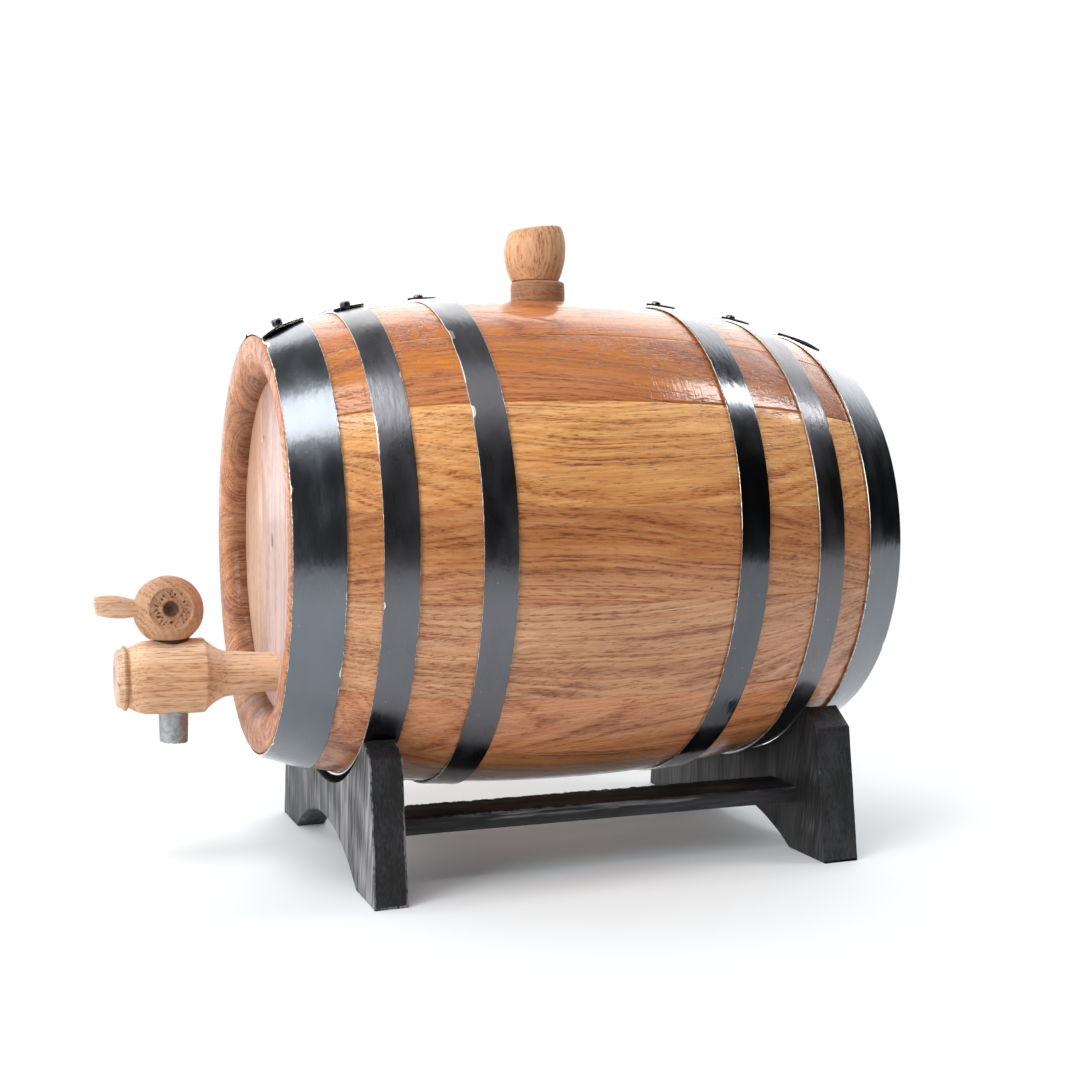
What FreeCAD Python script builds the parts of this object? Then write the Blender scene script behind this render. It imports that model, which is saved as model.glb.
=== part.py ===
import FreeCAD, Part
import math
import os

import Sketcher

# A small oak cask for spirits that lies on a black two-board stand.
#
# The cask's axis runs along X and its spigot end faces -X.  +Z is up, and the
# stand's feet are on z = 0.  The origin is on the floor, under the middle of
# the whole object's bounding box.  All sizes are in millimetres and degrees.
# "Front" is the spigot end and "rear" is the other one.

DRIVING_SIZES = [
    # cask
    ("cask_length", 240.0, "over the chimes, about nine and a half inches"),
    ("belly_diameter", 195.3, "largest outside diameter of the staves"),
    ("end_diameter", 159.8, "outside diameter of the staves at both ends"),
    ("belly_share", 0.5, "share of the length that the flatter middle bow takes"),
    ("bow_share", 0.179, "share of the bow's height that it takes"),
    ("belly_wall", 17.0, "stave thickness at the belly"),
    ("axis_height", 124.0, "cask axis above the floor"),
    # chime and heads
    ("chime_lip", 6.5, "flat end grain left on each stave end"),
    ("head_recess", 9.0, "head face behind the stave ends"),
    ("head_opening_radius", 63.8, "radius of the head that shows"),
    ("head_thickness", 10.0, "full thickness of a head"),
    ("croze_width", 6.0, "width of the groove that holds a head"),
    ("croze_depth", 3.0, "depth of that groove"),
    ("head_middle_width", 48.0, "width of the middle board of a head"),
    ("head_slack", 0.1, "play of a head in its groove"),
    # hoops and their rivets
    ("strap_thickness", 0.9, "hoop steel"),
    ("hoop_gap", 0.1, "varnish between a hoop and the staves"),
    ("head_strap_width", 18.4, "width of the head hoops"),
    ("narrow_strap_width", 12.4, "width of the quarter and bilge hoops"),
    ("front_head_hoop_at", 101.6, "inner edge of the front head hoop from mid cask"),
    ("front_quarter_hoop_at", 78.1, "inner edge of the front quarter hoop"),
    ("front_bilge_hoop_at", 44.4, "inner edge of the front bilge hoop"),
    ("rear_bilge_hoop_at", 41.1, "inner edge of the rear bilge hoop"),
    ("rear_quarter_hoop_at", 76.3, "inner edge of the rear quarter hoop"),
    ("rear_head_hoop_at", 101.6, "inner edge of the rear head hoop"),
    ("front_head_rivet_turn", 8.7, "rivet of the front head hoop, from the top towards -Y"),
    ("front_quarter_rivet_turn", 6.9, "rivet of the front quarter hoop"),
    ("front_bilge_rivet_turn", -3.4, "rivet of the front bilge hoop"),
    ("rear_bilge_rivet_turn", 1.6, "rivet of the rear bilge hoop"),
    ("rear_quarter_rivet_turn", 4.7, "rivet of the rear quarter hoop"),
    ("rear_head_rivet_turn", 4.0, "rivet of the rear head hoop"),
    ("head_strap_tail", 9.0, "strap end beyond the rivet, head hoops"),
    ("narrow_strap_tail", 3.4, "strap end beyond the rivet, other hoops"),
    ("rear_bilge_lean", 1.7, "top of the rear bilge hoop leans back"),
    ("lap_turn", 12.0, "turn over which a strap lies on its own start"),
    ("lap_flat", 6.0, "flat part of the lap behind the rivet"),
    ("lap_sink", 0.05, "flat part of the lap pressed into the strap"),
    ("lap_inset", 0.3, "worn edge of the flat part, each side"),
    ("rivet_head_radius", 2.1, "rivet head"),
    ("rivet_rim_height", 0.9, "straight rim of that head"),
    ("rivet_crown_radius", 1.4, "flat top of that head"),
    ("rivet_head_height", 1.9, "rivet head above the strap"),
    ("rivet_shank_radius", 1.2, "rivet shank"),
    # bung and collar
    ("bung_at", -2.8, "bung axis from mid cask"),
    ("bung_foot_radius", 9.5, "foot of the bung's knob"),
    ("bung_knob_radius", 12.5, "widest part of the knob"),
    ("bung_knob_waist", 12.3, "widest part above the foot"),
    ("bung_top_radius", 9.0, "top of the knob as it was turned"),
    ("bung_turned_height", 24.2, "knob as it was turned"),
    ("bung_sawn_height", 21.4, "knob as it was sawn, on its axis"),
    ("bung_saw_slope", 7.0, "slope of the sawn top, up towards the rear"),
    ("bung_shank_radius", 8.4, "bung shank at the knob's foot"),
    ("bung_shank_length", 26.0, "shank below the knob"),
    ("bung_taper", 0.05, "loss of shank radius per millimetre"),
    ("collar_radius", 11.0, "ring glued round the bung hole"),
    ("collar_offset", 1.2, "ring centre behind the bung axis"),
    ("collar_height", 7.7, "ring above the top of the cask"),
    ("collar_round", 1.0, "rounded upper edge of the ring"),
    # spigot body
    ("spigot_edge", 14.2, "spigot axis above the lower edge of the head"),
    ("spigot_nose", 51.0, "front of the spigot in front of the cask end"),
    ("nose_radius", 10.0, "front face of the spigot"),
    ("nose_round", 2.2, "length of the rounded edge of that face"),
    ("nose_edge_radius", 11.3, "spigot where that rounded edge ends"),
    ("bead_radius", 11.85, "bead behind the front face"),
    ("bead_start", 2.9, "bead behind the front face, near edge"),
    ("bead_end", 4.0, "bead behind the front face, far edge"),
    ("quirk_radius", 11.1, "groove behind the bead"),
    ("quirk_end", 4.6, "end of that groove behind the front face"),
    ("shoulder_end", 12.6, "end of the curve behind the groove"),
    ("shoulder_radius", 13.9, "barrel where that curve ends"),
    ("shoulder_bow", 11.0, "arc radius of that curve"),
    ("spigot_barrel_radius", 14.25, "turned barrel of the spigot, at its back"),
    ("barrel_bow", 240.0, "arc radius along the barrel"),
    ("barrel_end", 32.6, "end of the barrel behind the front face"),
    ("cove_start", 33.9, "start of the cove behind the front face"),
    ("cove_start_radius", 12.8, "spigot where the cove starts"),
    ("cove_end", 41.2, "end of the cove behind the front face"),
    ("cove_end_radius", 9.3, "neck where the cove ends"),
    ("cove_bow", 14.0, "arc radius of the cove"),
    ("neck_radius", 7.65, "neck where it enters the head"),
    ("tail_past_head", 6.0, "neck inside the cask"),
    ("spigot_bore_radius", 3.0, "liquor way along the spigot"),
    # key
    ("key_at", 29.7, "key axis in front of the cask end"),
    ("spout_drop", 25.4, "lower end of the key below the spigot axis"),
    ("spout_radius", 5.25, "outside radius of that end"),
    ("key_taper", 0.0277, "gain of key radius per millimetre of height"),
    ("key_bore_radius", 3.2, "way down the key"),
    ("key_port_radius", 2.8, "port in the side of the key"),
    ("key_tenon_radius", 5.4, "key inside its knob"),
    ("key_tenon_length", 10.0, "key inside its knob"),
    ("knob_radius", 13.1, "widest part of the key's knob"),
    ("knob_half_length", 10.0, "half of the knob along its own axis"),
    ("knob_face_radius", 8.4, "flat end faces of the knob"),
    ("knob_rise", 11.05, "knob centre above the top of the spigot barrel"),
    ("knob_offset", 1.5, "knob centre in front of the key axis"),
    ("knob_cant", 7.0, "near end of the knob is turned up"),
    ("dimple_radius", 3.7, "dimple in both ends of the knob"),
    ("dimple_depth", 1.8, "depth of that dimple"),
    ("peg_reach", 27.0, "tip of the peg from the knob's centre"),
    ("peg_tip_radius", 3.35, "ends of the peg"),
    ("peg_bow", 24.9, "arc radius along the peg"),
    ("peg_tenon_length", 7.0, "peg inside the knob"),
    ("peg_tilt", 5.0, "peg points up"),
    # fits
    ("running_gap", 0.05, "radial play of the key and of the bung"),
    ("glue_gap", 0.05, "glue line round a tenon"),
    ("seat_gap", 0.3, "air under a piece that rests on another"),
    # stand
    ("front_board_at", 79.8, "inner face of the front cradle from mid cask"),
    ("front_board_thickness", 12.2, "front cradle board"),
    ("rear_board_at", 87.2, "inner face of the rear cradle from mid cask"),
    ("rear_board_thickness", 15.0, "rear cradle board"),
    ("foot_outer", 80.5, "middle of a cradle to the outside of its foot"),
    ("foot_inner", 53.0, "middle of a cradle to the inside of its foot"),
    ("shoulder_half_width", 73.5, "middle of a cradle to its shoulder"),
    ("shoulder_drop", 72.0, "shoulder below the cask axis"),
    ("horn_half_width", 64.0, "middle of a cradle to the tip of its horn"),
    ("web_height", 14.5, "wood between the arch and the round of the front cradle"),
    ("rear_arch_drop", 2.6, "top of the rear cradle's arch below that of the front one"),
    ("rail_inner", 36.3, "middle of the stand to the inside of a rail"),
    ("rail_width", 22.2, "rail lath, seven eighths of an inch"),
    ("rail_thickness", 6.4, "rail lath, a quarter of an inch"),
    ("rail_drop", 11.3, "underside of the rails below the round of the front cradle"),
    ("housing_depth", 4.0, "rail ends let into the cradles"),
]

# Widths of the sixteen staves in degrees, clockwise from the bung stave as
# seen from the spigot end.  A cooper's staves are never all of one width.
STAVE_WIDTHS = [23, 24, 21, 24, 20, 23, 19, 24, 22, 21, 25, 20, 24, 22, 23, 25]

HALF_TURN = 180.0
QUARTER_TURN = 90.0
FULL_TURN = 360.0
CLEAR = 5.0     # how far a cutting tool runs past the stock

AXIS_X = FreeCAD.Vector(1, 0, 0)
AXIS_Y = FreeCAD.Vector(0, 1, 0)
AXIS_Z = FreeCAD.Vector(0, 0, 1)

FRONT = -1
REAR = 1


# ------------------------------------------------------------------- sizes

class Size:
    """A number together with the sheet expression that it comes from."""

    def __init__(self, value, text):
        self.value = value
        self.text = text

    @staticmethod
    def of(thing):
        if isinstance(thing, Size):
            return thing
        return Size(float(thing), "(%r)" % float(thing))

    def join(self, other, sign, value):
        return Size(value, "(%s %s %s)" % (self.text, sign, Size.of(other).text))

    def __float__(self):
        return float(self.value)

    def __add__(self, other):
        return self.join(other, "+", self.value + float(other))

    def __sub__(self, other):
        return self.join(other, "-", self.value - float(other))

    def __mul__(self, other):
        return self.join(other, "*", self.value * float(other))

    def __truediv__(self, other):
        return self.join(other, "/", self.value / float(other))

    def __neg__(self):
        return Size(-self.value, "(0 - %s)" % self.text)

    def root(self):
        return Size(math.sqrt(self.value), "sqrt(%s)" % self.text)


class Sizes:
    """The spreadsheet's cells, each read as a Size by its alias."""

    def __init__(self, document, rows):
        sheet = document.addObject("Spreadsheet::Sheet", "sizes")
        self.values = {}
        for row, (alias, value, note) in enumerate(rows, start=1):
            sheet.set("A%d" % row, alias)
            sheet.set("B%d" % row, str(value))
            sheet.set("C%d" % row, note)
            sheet.setAlias("B%d" % row, alias)
            self.values[alias] = value

    def __getattr__(self, alias):
        return Size(self.values[alias], "sizes.%s" % alias)


doc = FreeCAD.newDocument("oak_cask")
dim = Sizes(doc, DRIVING_SIZES)
doc.recompute()

finished = []


# ----------------------------------------------------------------- helpers

def finish(piece, label, placement=None):
    """Name a finished sub-part, put it in its place and keep it for export."""
    piece.Label = label
    if placement is not None:
        piece.Placement = placement
    finished.append(piece)
    return piece


def bind(piece, **sizes):
    """Set properties of an object, each bound to the sheet."""
    for name, size in sizes.items():
        size = Size.of(size)
        setattr(piece, name, size.value)
        piece.setExpression(name, size.text)
    return piece


def moved(x=0.0, y=0.0, z=0.0):
    vector = FreeCAD.Vector(float(x), float(y), float(z))
    return FreeCAD.Placement(vector, FreeCAD.Rotation())


def turned(axis, degrees):
    return FreeCAD.Placement(FreeCAD.Vector(), FreeCAD.Rotation(axis, float(degrees)))


def primitive(kind, name, placement, **sizes):
    piece = bind(doc.addObject("Part::" + kind, name), **sizes)
    piece.Placement = placement
    return piece


def joined(name, *pieces):
    fusion = doc.addObject("Part::MultiFuse", name)
    fusion.Shapes = list(pieces)
    return fusion


def without(name, stock, *tools):
    cut = doc.addObject("Part::Cut", name)
    cut.Base = stock
    cut.Tool = tools[0] if len(tools) == 1 else joined(name + "_tools", *tools)
    return cut


def common(name, first, second):
    overlap = doc.addObject("Part::Common", name)
    overlap.Base = first
    overlap.Tool = second
    return overlap


# ---------------------------------------------------------------- sketches

def origin_plane(body, role):
    for feature in body.Origin.OriginFeatures:
        if feature.Role == role:
            return feature
    raise ValueError(role)


def arc_between(start, end, radius):
    """The short arc from start to end.

    Its centre is on the left of the way from start to end for a positive
    radius, and on the right for a negative one.
    """
    chord = end - start
    left = FreeCAD.Vector(-chord.y, chord.x, 0).normalize()
    away = math.sqrt(radius * radius - chord.Length * chord.Length / 4)
    side = math.copysign(1, radius)
    centre = (start + end) / 2 + left * (side * away)
    return Part.Arc(start, centre - left * radius, end)


def pin(sketch, kind, axis_line, geometry, end, size):
    """Fix X or Y of an edge's end; a zero coordinate puts it on the axis."""
    if abs(size.value) < 1e-9:
        sketch.addConstraint(Sketcher.Constraint("PointOnObject", geometry, end, axis_line))
        return
    row = sketch.addConstraint(
        Sketcher.Constraint(kind, -1, 1, geometry, end, size.value))
    sketch.setExpression("Constraints[%d]" % row, size.text)


def outline(body, role, points):
    """A closed, fully sized sketch on one of the body's origin planes.

    Each point is (x, y) or (x, y, radius).  A radius makes an arc of the edge
    from that point to the next one, with its sign as in arc_between.
    """
    sketch = body.newObject("Sketcher::SketchObject", body.Name + "_outline")
    sketch.AttachmentSupport = (origin_plane(body, role), [""])
    sketch.MapMode = "FlatFace"
    rows = [[Size.of(value) for value in point] for point in points]
    corners = [FreeCAD.Vector(row[0].value, row[1].value, 0) for row in rows]
    ends = []
    for row, start, stop in zip(rows, corners, corners[1:] + corners[:1]):
        if len(row) == 2:
            sketch.addGeometry(Part.LineSegment(start, stop), False)
            ends.append((1, 2))
            continue
        number = sketch.addGeometry(arc_between(start, stop, row[2].value), False)
        # A sketch keeps its arcs anticlockwise, so the first end may be 2.
        forward = (sketch.getPoint(number, 1) - start).Length < 1e-6
        ends.append((1, 2) if forward else (2, 1))
    for number, (first, last) in enumerate(ends):
        after = (number + 1) % len(ends)
        sketch.addConstraint(
            Sketcher.Constraint("Coincident", number, last, after, ends[after][0]))
        x, y = rows[number][:2]
        pin(sketch, "DistanceX", -2, number, first, x)
        pin(sketch, "DistanceY", -1, number, first, y)
        if len(rows[number]) == 3:
            radius = rows[number][2]
            if radius.value < 0:
                radius = -radius
            row = sketch.addConstraint(
                Sketcher.Constraint("Radius", number, radius.value))
            sketch.setExpression("Constraints[%d]" % row, radius.text)
    return sketch


def lathe(name, role, axis, points, degrees=FULL_TURN):
    """A body turned from an outline about the sketch's H_Axis or V_Axis.

    A part turn is centred on the sketch's plane.
    """
    body = doc.addObject("PartDesign::Body", name)
    sketch = outline(body, role, points)
    spin = body.newObject("PartDesign::Revolution", name + "_spin")
    spin.Profile = sketch
    spin.ReferenceAxis = (sketch, [axis])
    spin.Midplane = True
    bind(spin, Angle=degrees)
    sketch.Visibility = False
    return body


def take_out(body, kind, name, placement, **sizes):
    """Cut a PartDesign primitive out of a body, in the body's own frame."""
    tool = bind(body.newObject("PartDesign::Subtractive" + kind, name), **sizes)
    tool.Placement = placement
    return tool


# -------------------------------------------------------------- the places

half_length = dim.cask_length / 2
belly_radius = dim.belly_diameter / 2
end_radius = dim.end_diameter / 2

peg_tilt = math.radians(dim.peg_tilt)
front_reach = (float(dim.key_at + dim.knob_offset)
               + float(dim.peg_reach) * math.cos(peg_tilt)
               + float(dim.peg_tip_radius) * math.sin(peg_tilt))
CASK_X = front_reach / 2    # brings the middle of the whole object to x = 0


def in_cask(x=0.0, y=0.0, z=0.0):
    """A place measured from the middle of the cask's axis."""
    return moved(CASK_X + float(x), y, float(dim.axis_height) + float(z))


# -------------------------------------------------------------- the staves
# Outside, a stave is a flat arc between the bilge hoops with a tighter arc
# that carries on from it to each end.

def bow_radius(rise, run):
    """Radius of an arc that starts square to rise and covers rise and run."""
    return (rise * rise + run * run) / (rise * 2)


join_x = half_length * dim.belly_share
belly_rise = (belly_radius - end_radius) * dim.bow_share
belly_arc_radius = bow_radius(belly_rise, join_x)


def belly_arc_at(x):
    """Outside radius of the cask on the flat arc, x from mid cask."""
    sunk = belly_arc_radius - belly_radius
    return (belly_arc_radius * belly_arc_radius - x * x).root() - sunk


join_radius = belly_radius - belly_rise
run = half_length - join_x
fall = join_radius - end_radius
normal_x = join_x / belly_arc_radius
normal_y = (belly_arc_radius - belly_rise) / belly_arc_radius
end_arc_radius = ((run * run + fall * fall)
                  / ((fall * normal_y - run * normal_x) * 2))
end_centre_x = join_x - end_arc_radius * normal_x
end_centre_y = join_radius - end_arc_radius * normal_y


def end_arc_at(x):
    """Outside radius of the cask on an end arc, x from mid cask."""
    off = x - end_centre_x
    return (end_arc_radius * end_arc_radius - off * off).root() + end_centre_y


head_x = half_length - dim.head_recess
croze_x = head_x - dim.croze_width
croze_radius = dim.head_opening_radius + dim.croze_depth
inner_rise = belly_radius - dim.belly_wall - dim.head_opening_radius
inner_arc_radius = bow_radius(inner_rise, croze_x)

STAVE_OUTLINE = [
    (-half_length, end_radius, -end_arc_radius),
    (-join_x, join_radius, -belly_arc_radius),
    (join_x, join_radius, -end_arc_radius),
    (half_length, end_radius),
    (half_length, end_radius - dim.chime_lip),
    (head_x, dim.head_opening_radius),
    (head_x, croze_radius),
    (croze_x, croze_radius),
    (croze_x, dim.head_opening_radius, inner_arc_radius),
    (-croze_x, dim.head_opening_radius),
    (-croze_x, croze_radius),
    (-head_x, croze_radius),
    (-head_x, dim.head_opening_radius),
    (-half_length, end_radius - dim.chime_lip),
]

bung_foot_z = belly_radius + dim.collar_height + dim.seat_gap


def bung_hole_sizes(bottom, top):
    """Radii of the tapered bung hole at two heights above the cask's axis."""
    def radius_at(z):
        shank = dim.bung_shank_radius - (bung_foot_z - z) * dim.bung_taper
        return shank + dim.running_gap
    return {"Radius1": radius_at(bottom), "Radius2": radius_at(top), "Height": top - bottom}


hole_bottom = belly_radius - dim.belly_wall - CLEAR
hole_top = belly_radius + dim.collar_height + CLEAR

turn = 0.0
for number, width in enumerate(STAVE_WIDTHS, start=1):
    label = "stave_%02d" % number
    stave = lathe(label, "XZ_Plane", "H_Axis", STAVE_OUTLINE, width)
    if number == 1:
        take_out(stave, "Cone", "bung_hole", moved(dim.bung_at, 0, hole_bottom),
                 **bung_hole_sizes(hole_bottom, hole_top))
    else:
        turn += (STAVE_WIDTHS[number - 2] + width) / 2
    finish(stave, label, in_cask() * turned(AXIS_X, turn))


# --------------------------------------------------------------- the heads
# Each head is three boards.  Its edge is thinned to a tongue for the croze.

def head_disc(end, side):
    """A whole head, its outer face at the recess and its tongue in the groove."""
    face = in_cask(head_x * side) * turned(AXIS_Y, -side * QUARTER_TURN)
    tongue = primitive("Cylinder", end + "_head_tongue", face,
                       Radius=croze_radius - dim.head_slack,
                       Height=dim.croze_width - dim.head_slack)
    thick = primitive("Cylinder", end + "_head_thick", face,
                      Radius=dim.head_opening_radius - dim.head_slack,
                      Height=dim.head_thickness)
    return joined(end + "_head_disc", tongue, thick)


spigot_drop = dim.head_opening_radius - dim.spigot_edge
spigot_hole = primitive(
    "Cylinder", "spigot_hole",
    in_cask(-head_x - CLEAR, 0, -spigot_drop) * turned(AXIS_Y, QUARTER_TURN),
    Radius=dim.neck_radius + dim.glue_gap,
    Height=dim.head_thickness + 2 * CLEAR)

side_width = croze_radius + CLEAR - dim.head_middle_width / 2
middle_half = dim.head_middle_width / 2
for end, side in (("front", FRONT), ("rear", REAR)):
    disc = head_disc(end, side)
    for place, y, width in (("near", -middle_half - side_width, side_width),
                            ("middle", -middle_half, dim.head_middle_width),
                            ("far", middle_half, side_width)):
        label = "head_%s_%s" % (end, place)
        start = in_cask(head_x * side - CLEAR * 3, y, -croze_radius - CLEAR)
        slab = primitive("Box", label + "_slab", start, Length=CLEAR * 6, Width=width,
                         Height=(croze_radius + CLEAR) * 2)
        board = common(label + "_board", disc, slab)
        if label == "head_front_middle":
            board = without(label + "_bored", board, spigot_hole)
        finish(board, label)


# --------------------------------------------------------------- the hoops
# A hoop is a strap of steel with a slight cone.  Its end lies flat on its own
# start near the top of the cask, held by one rivet.

class Hoop:
    """Where one hoop is and how large; x and radii are of its middle line."""

    def __init__(self, label, side, at, width, rivet_turn, tail, lean=0.0):
        self.label = label
        self.side = side
        self.width = width
        self.rivet_turn = rivet_turn
        self.tail = tail
        # The straight strap must clear the bow of the staves under it, and a
        # leaning one also the corner that it turns towards them.
        bow = width * width / (end_arc_radius * 8)
        twist = width * math.sin(math.radians(lean)) / 2
        self.stand_off = bow + dim.hoop_gap + twist
        on_flat = float(at) + float(width) < float(join_x)
        surface = belly_arc_at if on_flat else end_arc_at
        self.wide = surface(at) + self.stand_off
        self.narrow = surface(at + width) + self.stand_off
        middle = at + width / 2
        self.radius = (self.wide + self.narrow) / 2
        # A leaning hoop sits lower by the bow of the belly under it.
        drop = middle * self.radius * math.sin(math.radians(lean)) / belly_arc_radius
        self.frame = in_cask(middle * side, 0, -drop) * turned(AXIS_Y, lean)
        self.slope = math.degrees(math.atan(float(self.wide - self.narrow) / float(width)))

    def cone(self, name, height, degrees=FULL_TURN, start=HALF_TURN):
        """A cone at a height above the strap's inner face.

        A part turn covers the given degrees, up to start, both measured from
        the top towards -Y.
        """
        if self.side == REAR:
            upright = start - float(degrees) + HALF_TURN
        else:
            upright = start
        place = (self.frame * turned(AXIS_X, upright)
                 * turned(AXIS_Y, self.side * QUARTER_TURN) * moved(0, 0, -self.width / 2))
        return primitive("Cone", name, place, Radius1=self.wide + height,
                         Radius2=self.narrow + height, Height=self.width, Angle=degrees)

    def seat(self, degrees):
        """The frame on the strap's outer face, z outwards, at some degrees."""
        return (self.frame * turned(AXIS_X, degrees)
                * moved(0, 0, self.radius + dim.strap_thickness)
                * turned(AXIS_Y, self.side * self.slope))

    def build(self):
        """The strap with its lap and its rivet hole."""
        thick = dim.strap_thickness
        inner = self.cone(self.label + "_inside", 0)
        ring = without(self.label + "_ring", self.cone(self.label + "_outside", thick), inner)
        lap_start = float(self.rivet_turn)
        lap = without(self.label + "_lap",
                      self.cone(self.label + "_lap_outside", thick * 2,
                                dim.lap_turn, lap_start),
                      self.cone(self.label + "_lap_inside", thick / 2,
                                dim.lap_turn + CLEAR, lap_start + CLEAR / 2))
        slant = self.width / math.cos(math.radians(self.slope)) - dim.lap_inset * 2
        flat = primitive("Box", self.label + "_flat",
                         self.seat(self.rivet_turn)
                         * moved(-slant / 2, -self.tail, -dim.lap_sink),
                         Length=slant, Width=self.tail + dim.lap_flat,
                         Height=dim.strap_thickness)
        strap = joined(self.label + "_strap", ring, lap, flat)
        hole = primitive("Cylinder", self.label + "_rivet_hole",
                         self.seat(self.rivet_turn) * moved(0, 0, -CLEAR),
                         Radius=dim.rivet_shank_radius + dim.glue_gap, Height=2 * CLEAR)
        return without(self.label, strap, hole)


def rivet(name):
    """A rivet along Z: z = 0 is the strap's outer face, its tail is flush inside."""
    top = dim.strap_thickness
    return lathe(name, "XZ_Plane", "V_Axis", [
        (0, -dim.strap_thickness),
        (dim.rivet_shank_radius, -dim.strap_thickness),
        (dim.rivet_shank_radius, top),
        (dim.rivet_head_radius, top),
        (dim.rivet_head_radius, top + dim.rivet_rim_height, dim.rivet_head_radius),
        (dim.rivet_crown_radius, top + dim.rivet_head_height),
        (0, top + dim.rivet_head_height),
    ])


HOOPS = [
    Hoop("hoop_front_head", FRONT, dim.front_head_hoop_at, dim.head_strap_width,
         dim.front_head_rivet_turn, dim.head_strap_tail),
    Hoop("hoop_front_quarter", FRONT, dim.front_quarter_hoop_at, dim.narrow_strap_width,
         dim.front_quarter_rivet_turn, dim.narrow_strap_tail),
    Hoop("hoop_front_bilge", FRONT, dim.front_bilge_hoop_at, dim.narrow_strap_width,
         dim.front_bilge_rivet_turn, dim.narrow_strap_tail),
    Hoop("hoop_rear_bilge", REAR, dim.rear_bilge_hoop_at, dim.narrow_strap_width,
         dim.rear_bilge_rivet_turn, dim.narrow_strap_tail, dim.rear_bilge_lean),
    Hoop("hoop_rear_quarter", REAR, dim.rear_quarter_hoop_at, dim.narrow_strap_width,
         dim.rear_quarter_rivet_turn, dim.narrow_strap_tail),
    Hoop("hoop_rear_head", REAR, dim.rear_head_hoop_at, dim.head_strap_width,
         dim.rear_head_rivet_turn, dim.head_strap_tail),
]

for hoop in HOOPS:
    finish(hoop.build(), hoop.label)
    label = hoop.label.replace("hoop", "rivet")
    finish(rivet(label), label, hoop.seat(hoop.rivet_turn))


# ---------------------------------------------------- the bung and its ring

waist = dim.bung_knob_waist
above_waist = dim.bung_turned_height - waist
lower_bow = bow_radius(dim.bung_knob_radius - dim.bung_foot_radius, waist)
upper_bow = bow_radius(dim.bung_knob_radius - dim.bung_top_radius, above_waist)
bung = lathe("bung_turning", "XZ_Plane", "V_Axis", [
    (0, -dim.bung_shank_length),
    (dim.bung_shank_radius - dim.bung_shank_length * dim.bung_taper, -dim.bung_shank_length),
    (dim.bung_shank_radius, 0),
    (dim.bung_foot_radius, 0, lower_bow),
    (dim.bung_knob_radius, waist, upper_bow),
    (dim.bung_top_radius, dim.bung_turned_height),
    (0, dim.bung_turned_height),
])
bung.Placement = in_cask(dim.bung_at, 0, bung_foot_z)
waste = dim.bung_knob_radius * 2 + CLEAR * 2
sawn = (in_cask(dim.bung_at, 0, bung_foot_z + dim.bung_sawn_height)
        * turned(AXIS_Y, -dim.bung_saw_slope) * moved(-waste / 2, -waste / 2, 0))
offcut = primitive("Box", "bung_offcut", sawn, Length=waste, Width=waste, Height=waste)
finish(without("bung_sawn", bung, offcut), "bung")

ring_x = dim.bung_at + dim.collar_offset
ring_bottom = belly_radius - CLEAR
ring = primitive("Cylinder", "collar_stock", in_cask(ring_x, 0, ring_bottom),
                 Radius=dim.collar_radius, Height=dim.collar_height + CLEAR)
rounded = doc.addObject("Part::Fillet", "collar_rounded")
rounded.Base = ring
doc.recompute()
for number, edge in enumerate(ring.Shape.Edges, start=1):
    if edge.Closed and edge.CenterOfMass.z > float(dim.axis_height + belly_radius):
        rounded.Edges = [(number, float(dim.collar_round), float(dim.collar_round))]
saddle_length = dim.collar_radius * 2 + CLEAR * 2
saddle = primitive("Cylinder", "collar_saddle",
                   in_cask(ring_x - saddle_length / 2) * turned(AXIS_Y, QUARTER_TURN),
                   Radius=belly_radius + dim.glue_gap, Height=saddle_length)
collar_hole = primitive("Cone", "collar_hole", in_cask(dim.bung_at, 0, hole_bottom),
                        **bung_hole_sizes(hole_bottom, hole_top))
finish(without("bung_collar", rounded, saddle, collar_hole), "bung_collar")


# ------------------------------------------------------------- the spigot
# The spigot's outline is measured along X from its front face.

tail_end = (dim.spigot_nose + dim.head_recess + dim.head_thickness + dim.tail_past_head)
spigot = lathe("spigot_body", "XZ_Plane", "H_Axis", [
    (0, 0),
    (tail_end, 0),
    (tail_end, dim.neck_radius),
    (dim.spigot_nose + dim.head_recess, dim.neck_radius),
    (dim.cove_end, dim.cove_end_radius, -dim.cove_bow),
    (dim.cove_start, dim.cove_start_radius),
    (dim.barrel_end, dim.spigot_barrel_radius, dim.barrel_bow),
    (dim.shoulder_end, dim.shoulder_radius, dim.shoulder_bow),
    (dim.quirk_end, dim.quirk_radius),
    (dim.bead_end, dim.bead_radius),
    (dim.bead_start, dim.bead_radius),
    (dim.nose_round, dim.nose_edge_radius),
    (0, dim.nose_radius),
])
spigot_z = dim.axis_height - spigot_drop
spigot_top_z = spigot_z + dim.spigot_barrel_radius
nose_x = CASK_X - float(half_length + dim.spigot_nose)
key_x = CASK_X - float(half_length + dim.key_at)
key_from_nose = dim.spigot_nose - dim.key_at


def key_radius_at(height):
    """Outside radius of the tapered key at a height above its lower end."""
    return dim.spout_radius + height * dim.key_taper


key_hole_half = dim.spigot_barrel_radius + CLEAR
take_out(spigot, "Cone", "key_hole", moved(key_from_nose, 0, -key_hole_half),
         Radius1=key_radius_at(dim.spout_drop - key_hole_half) + dim.running_gap,
         Radius2=key_radius_at(dim.spout_drop + key_hole_half) + dim.running_gap,
         Height=key_hole_half * 2)
take_out(spigot, "Cylinder", "liquor_way",
         moved(key_from_nose) * turned(AXIS_Y, QUARTER_TURN),
         Radius=dim.spigot_bore_radius, Height=tail_end - key_from_nose + CLEAR)
finish(spigot, "spigot_body", moved(nose_x, 0, spigot_z))


# ---------------------------------------------------------------- the key
# The key is a tapered tube through the spigot.  Its port is turned away from
# the liquor way, so the spigot is shut.

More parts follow.
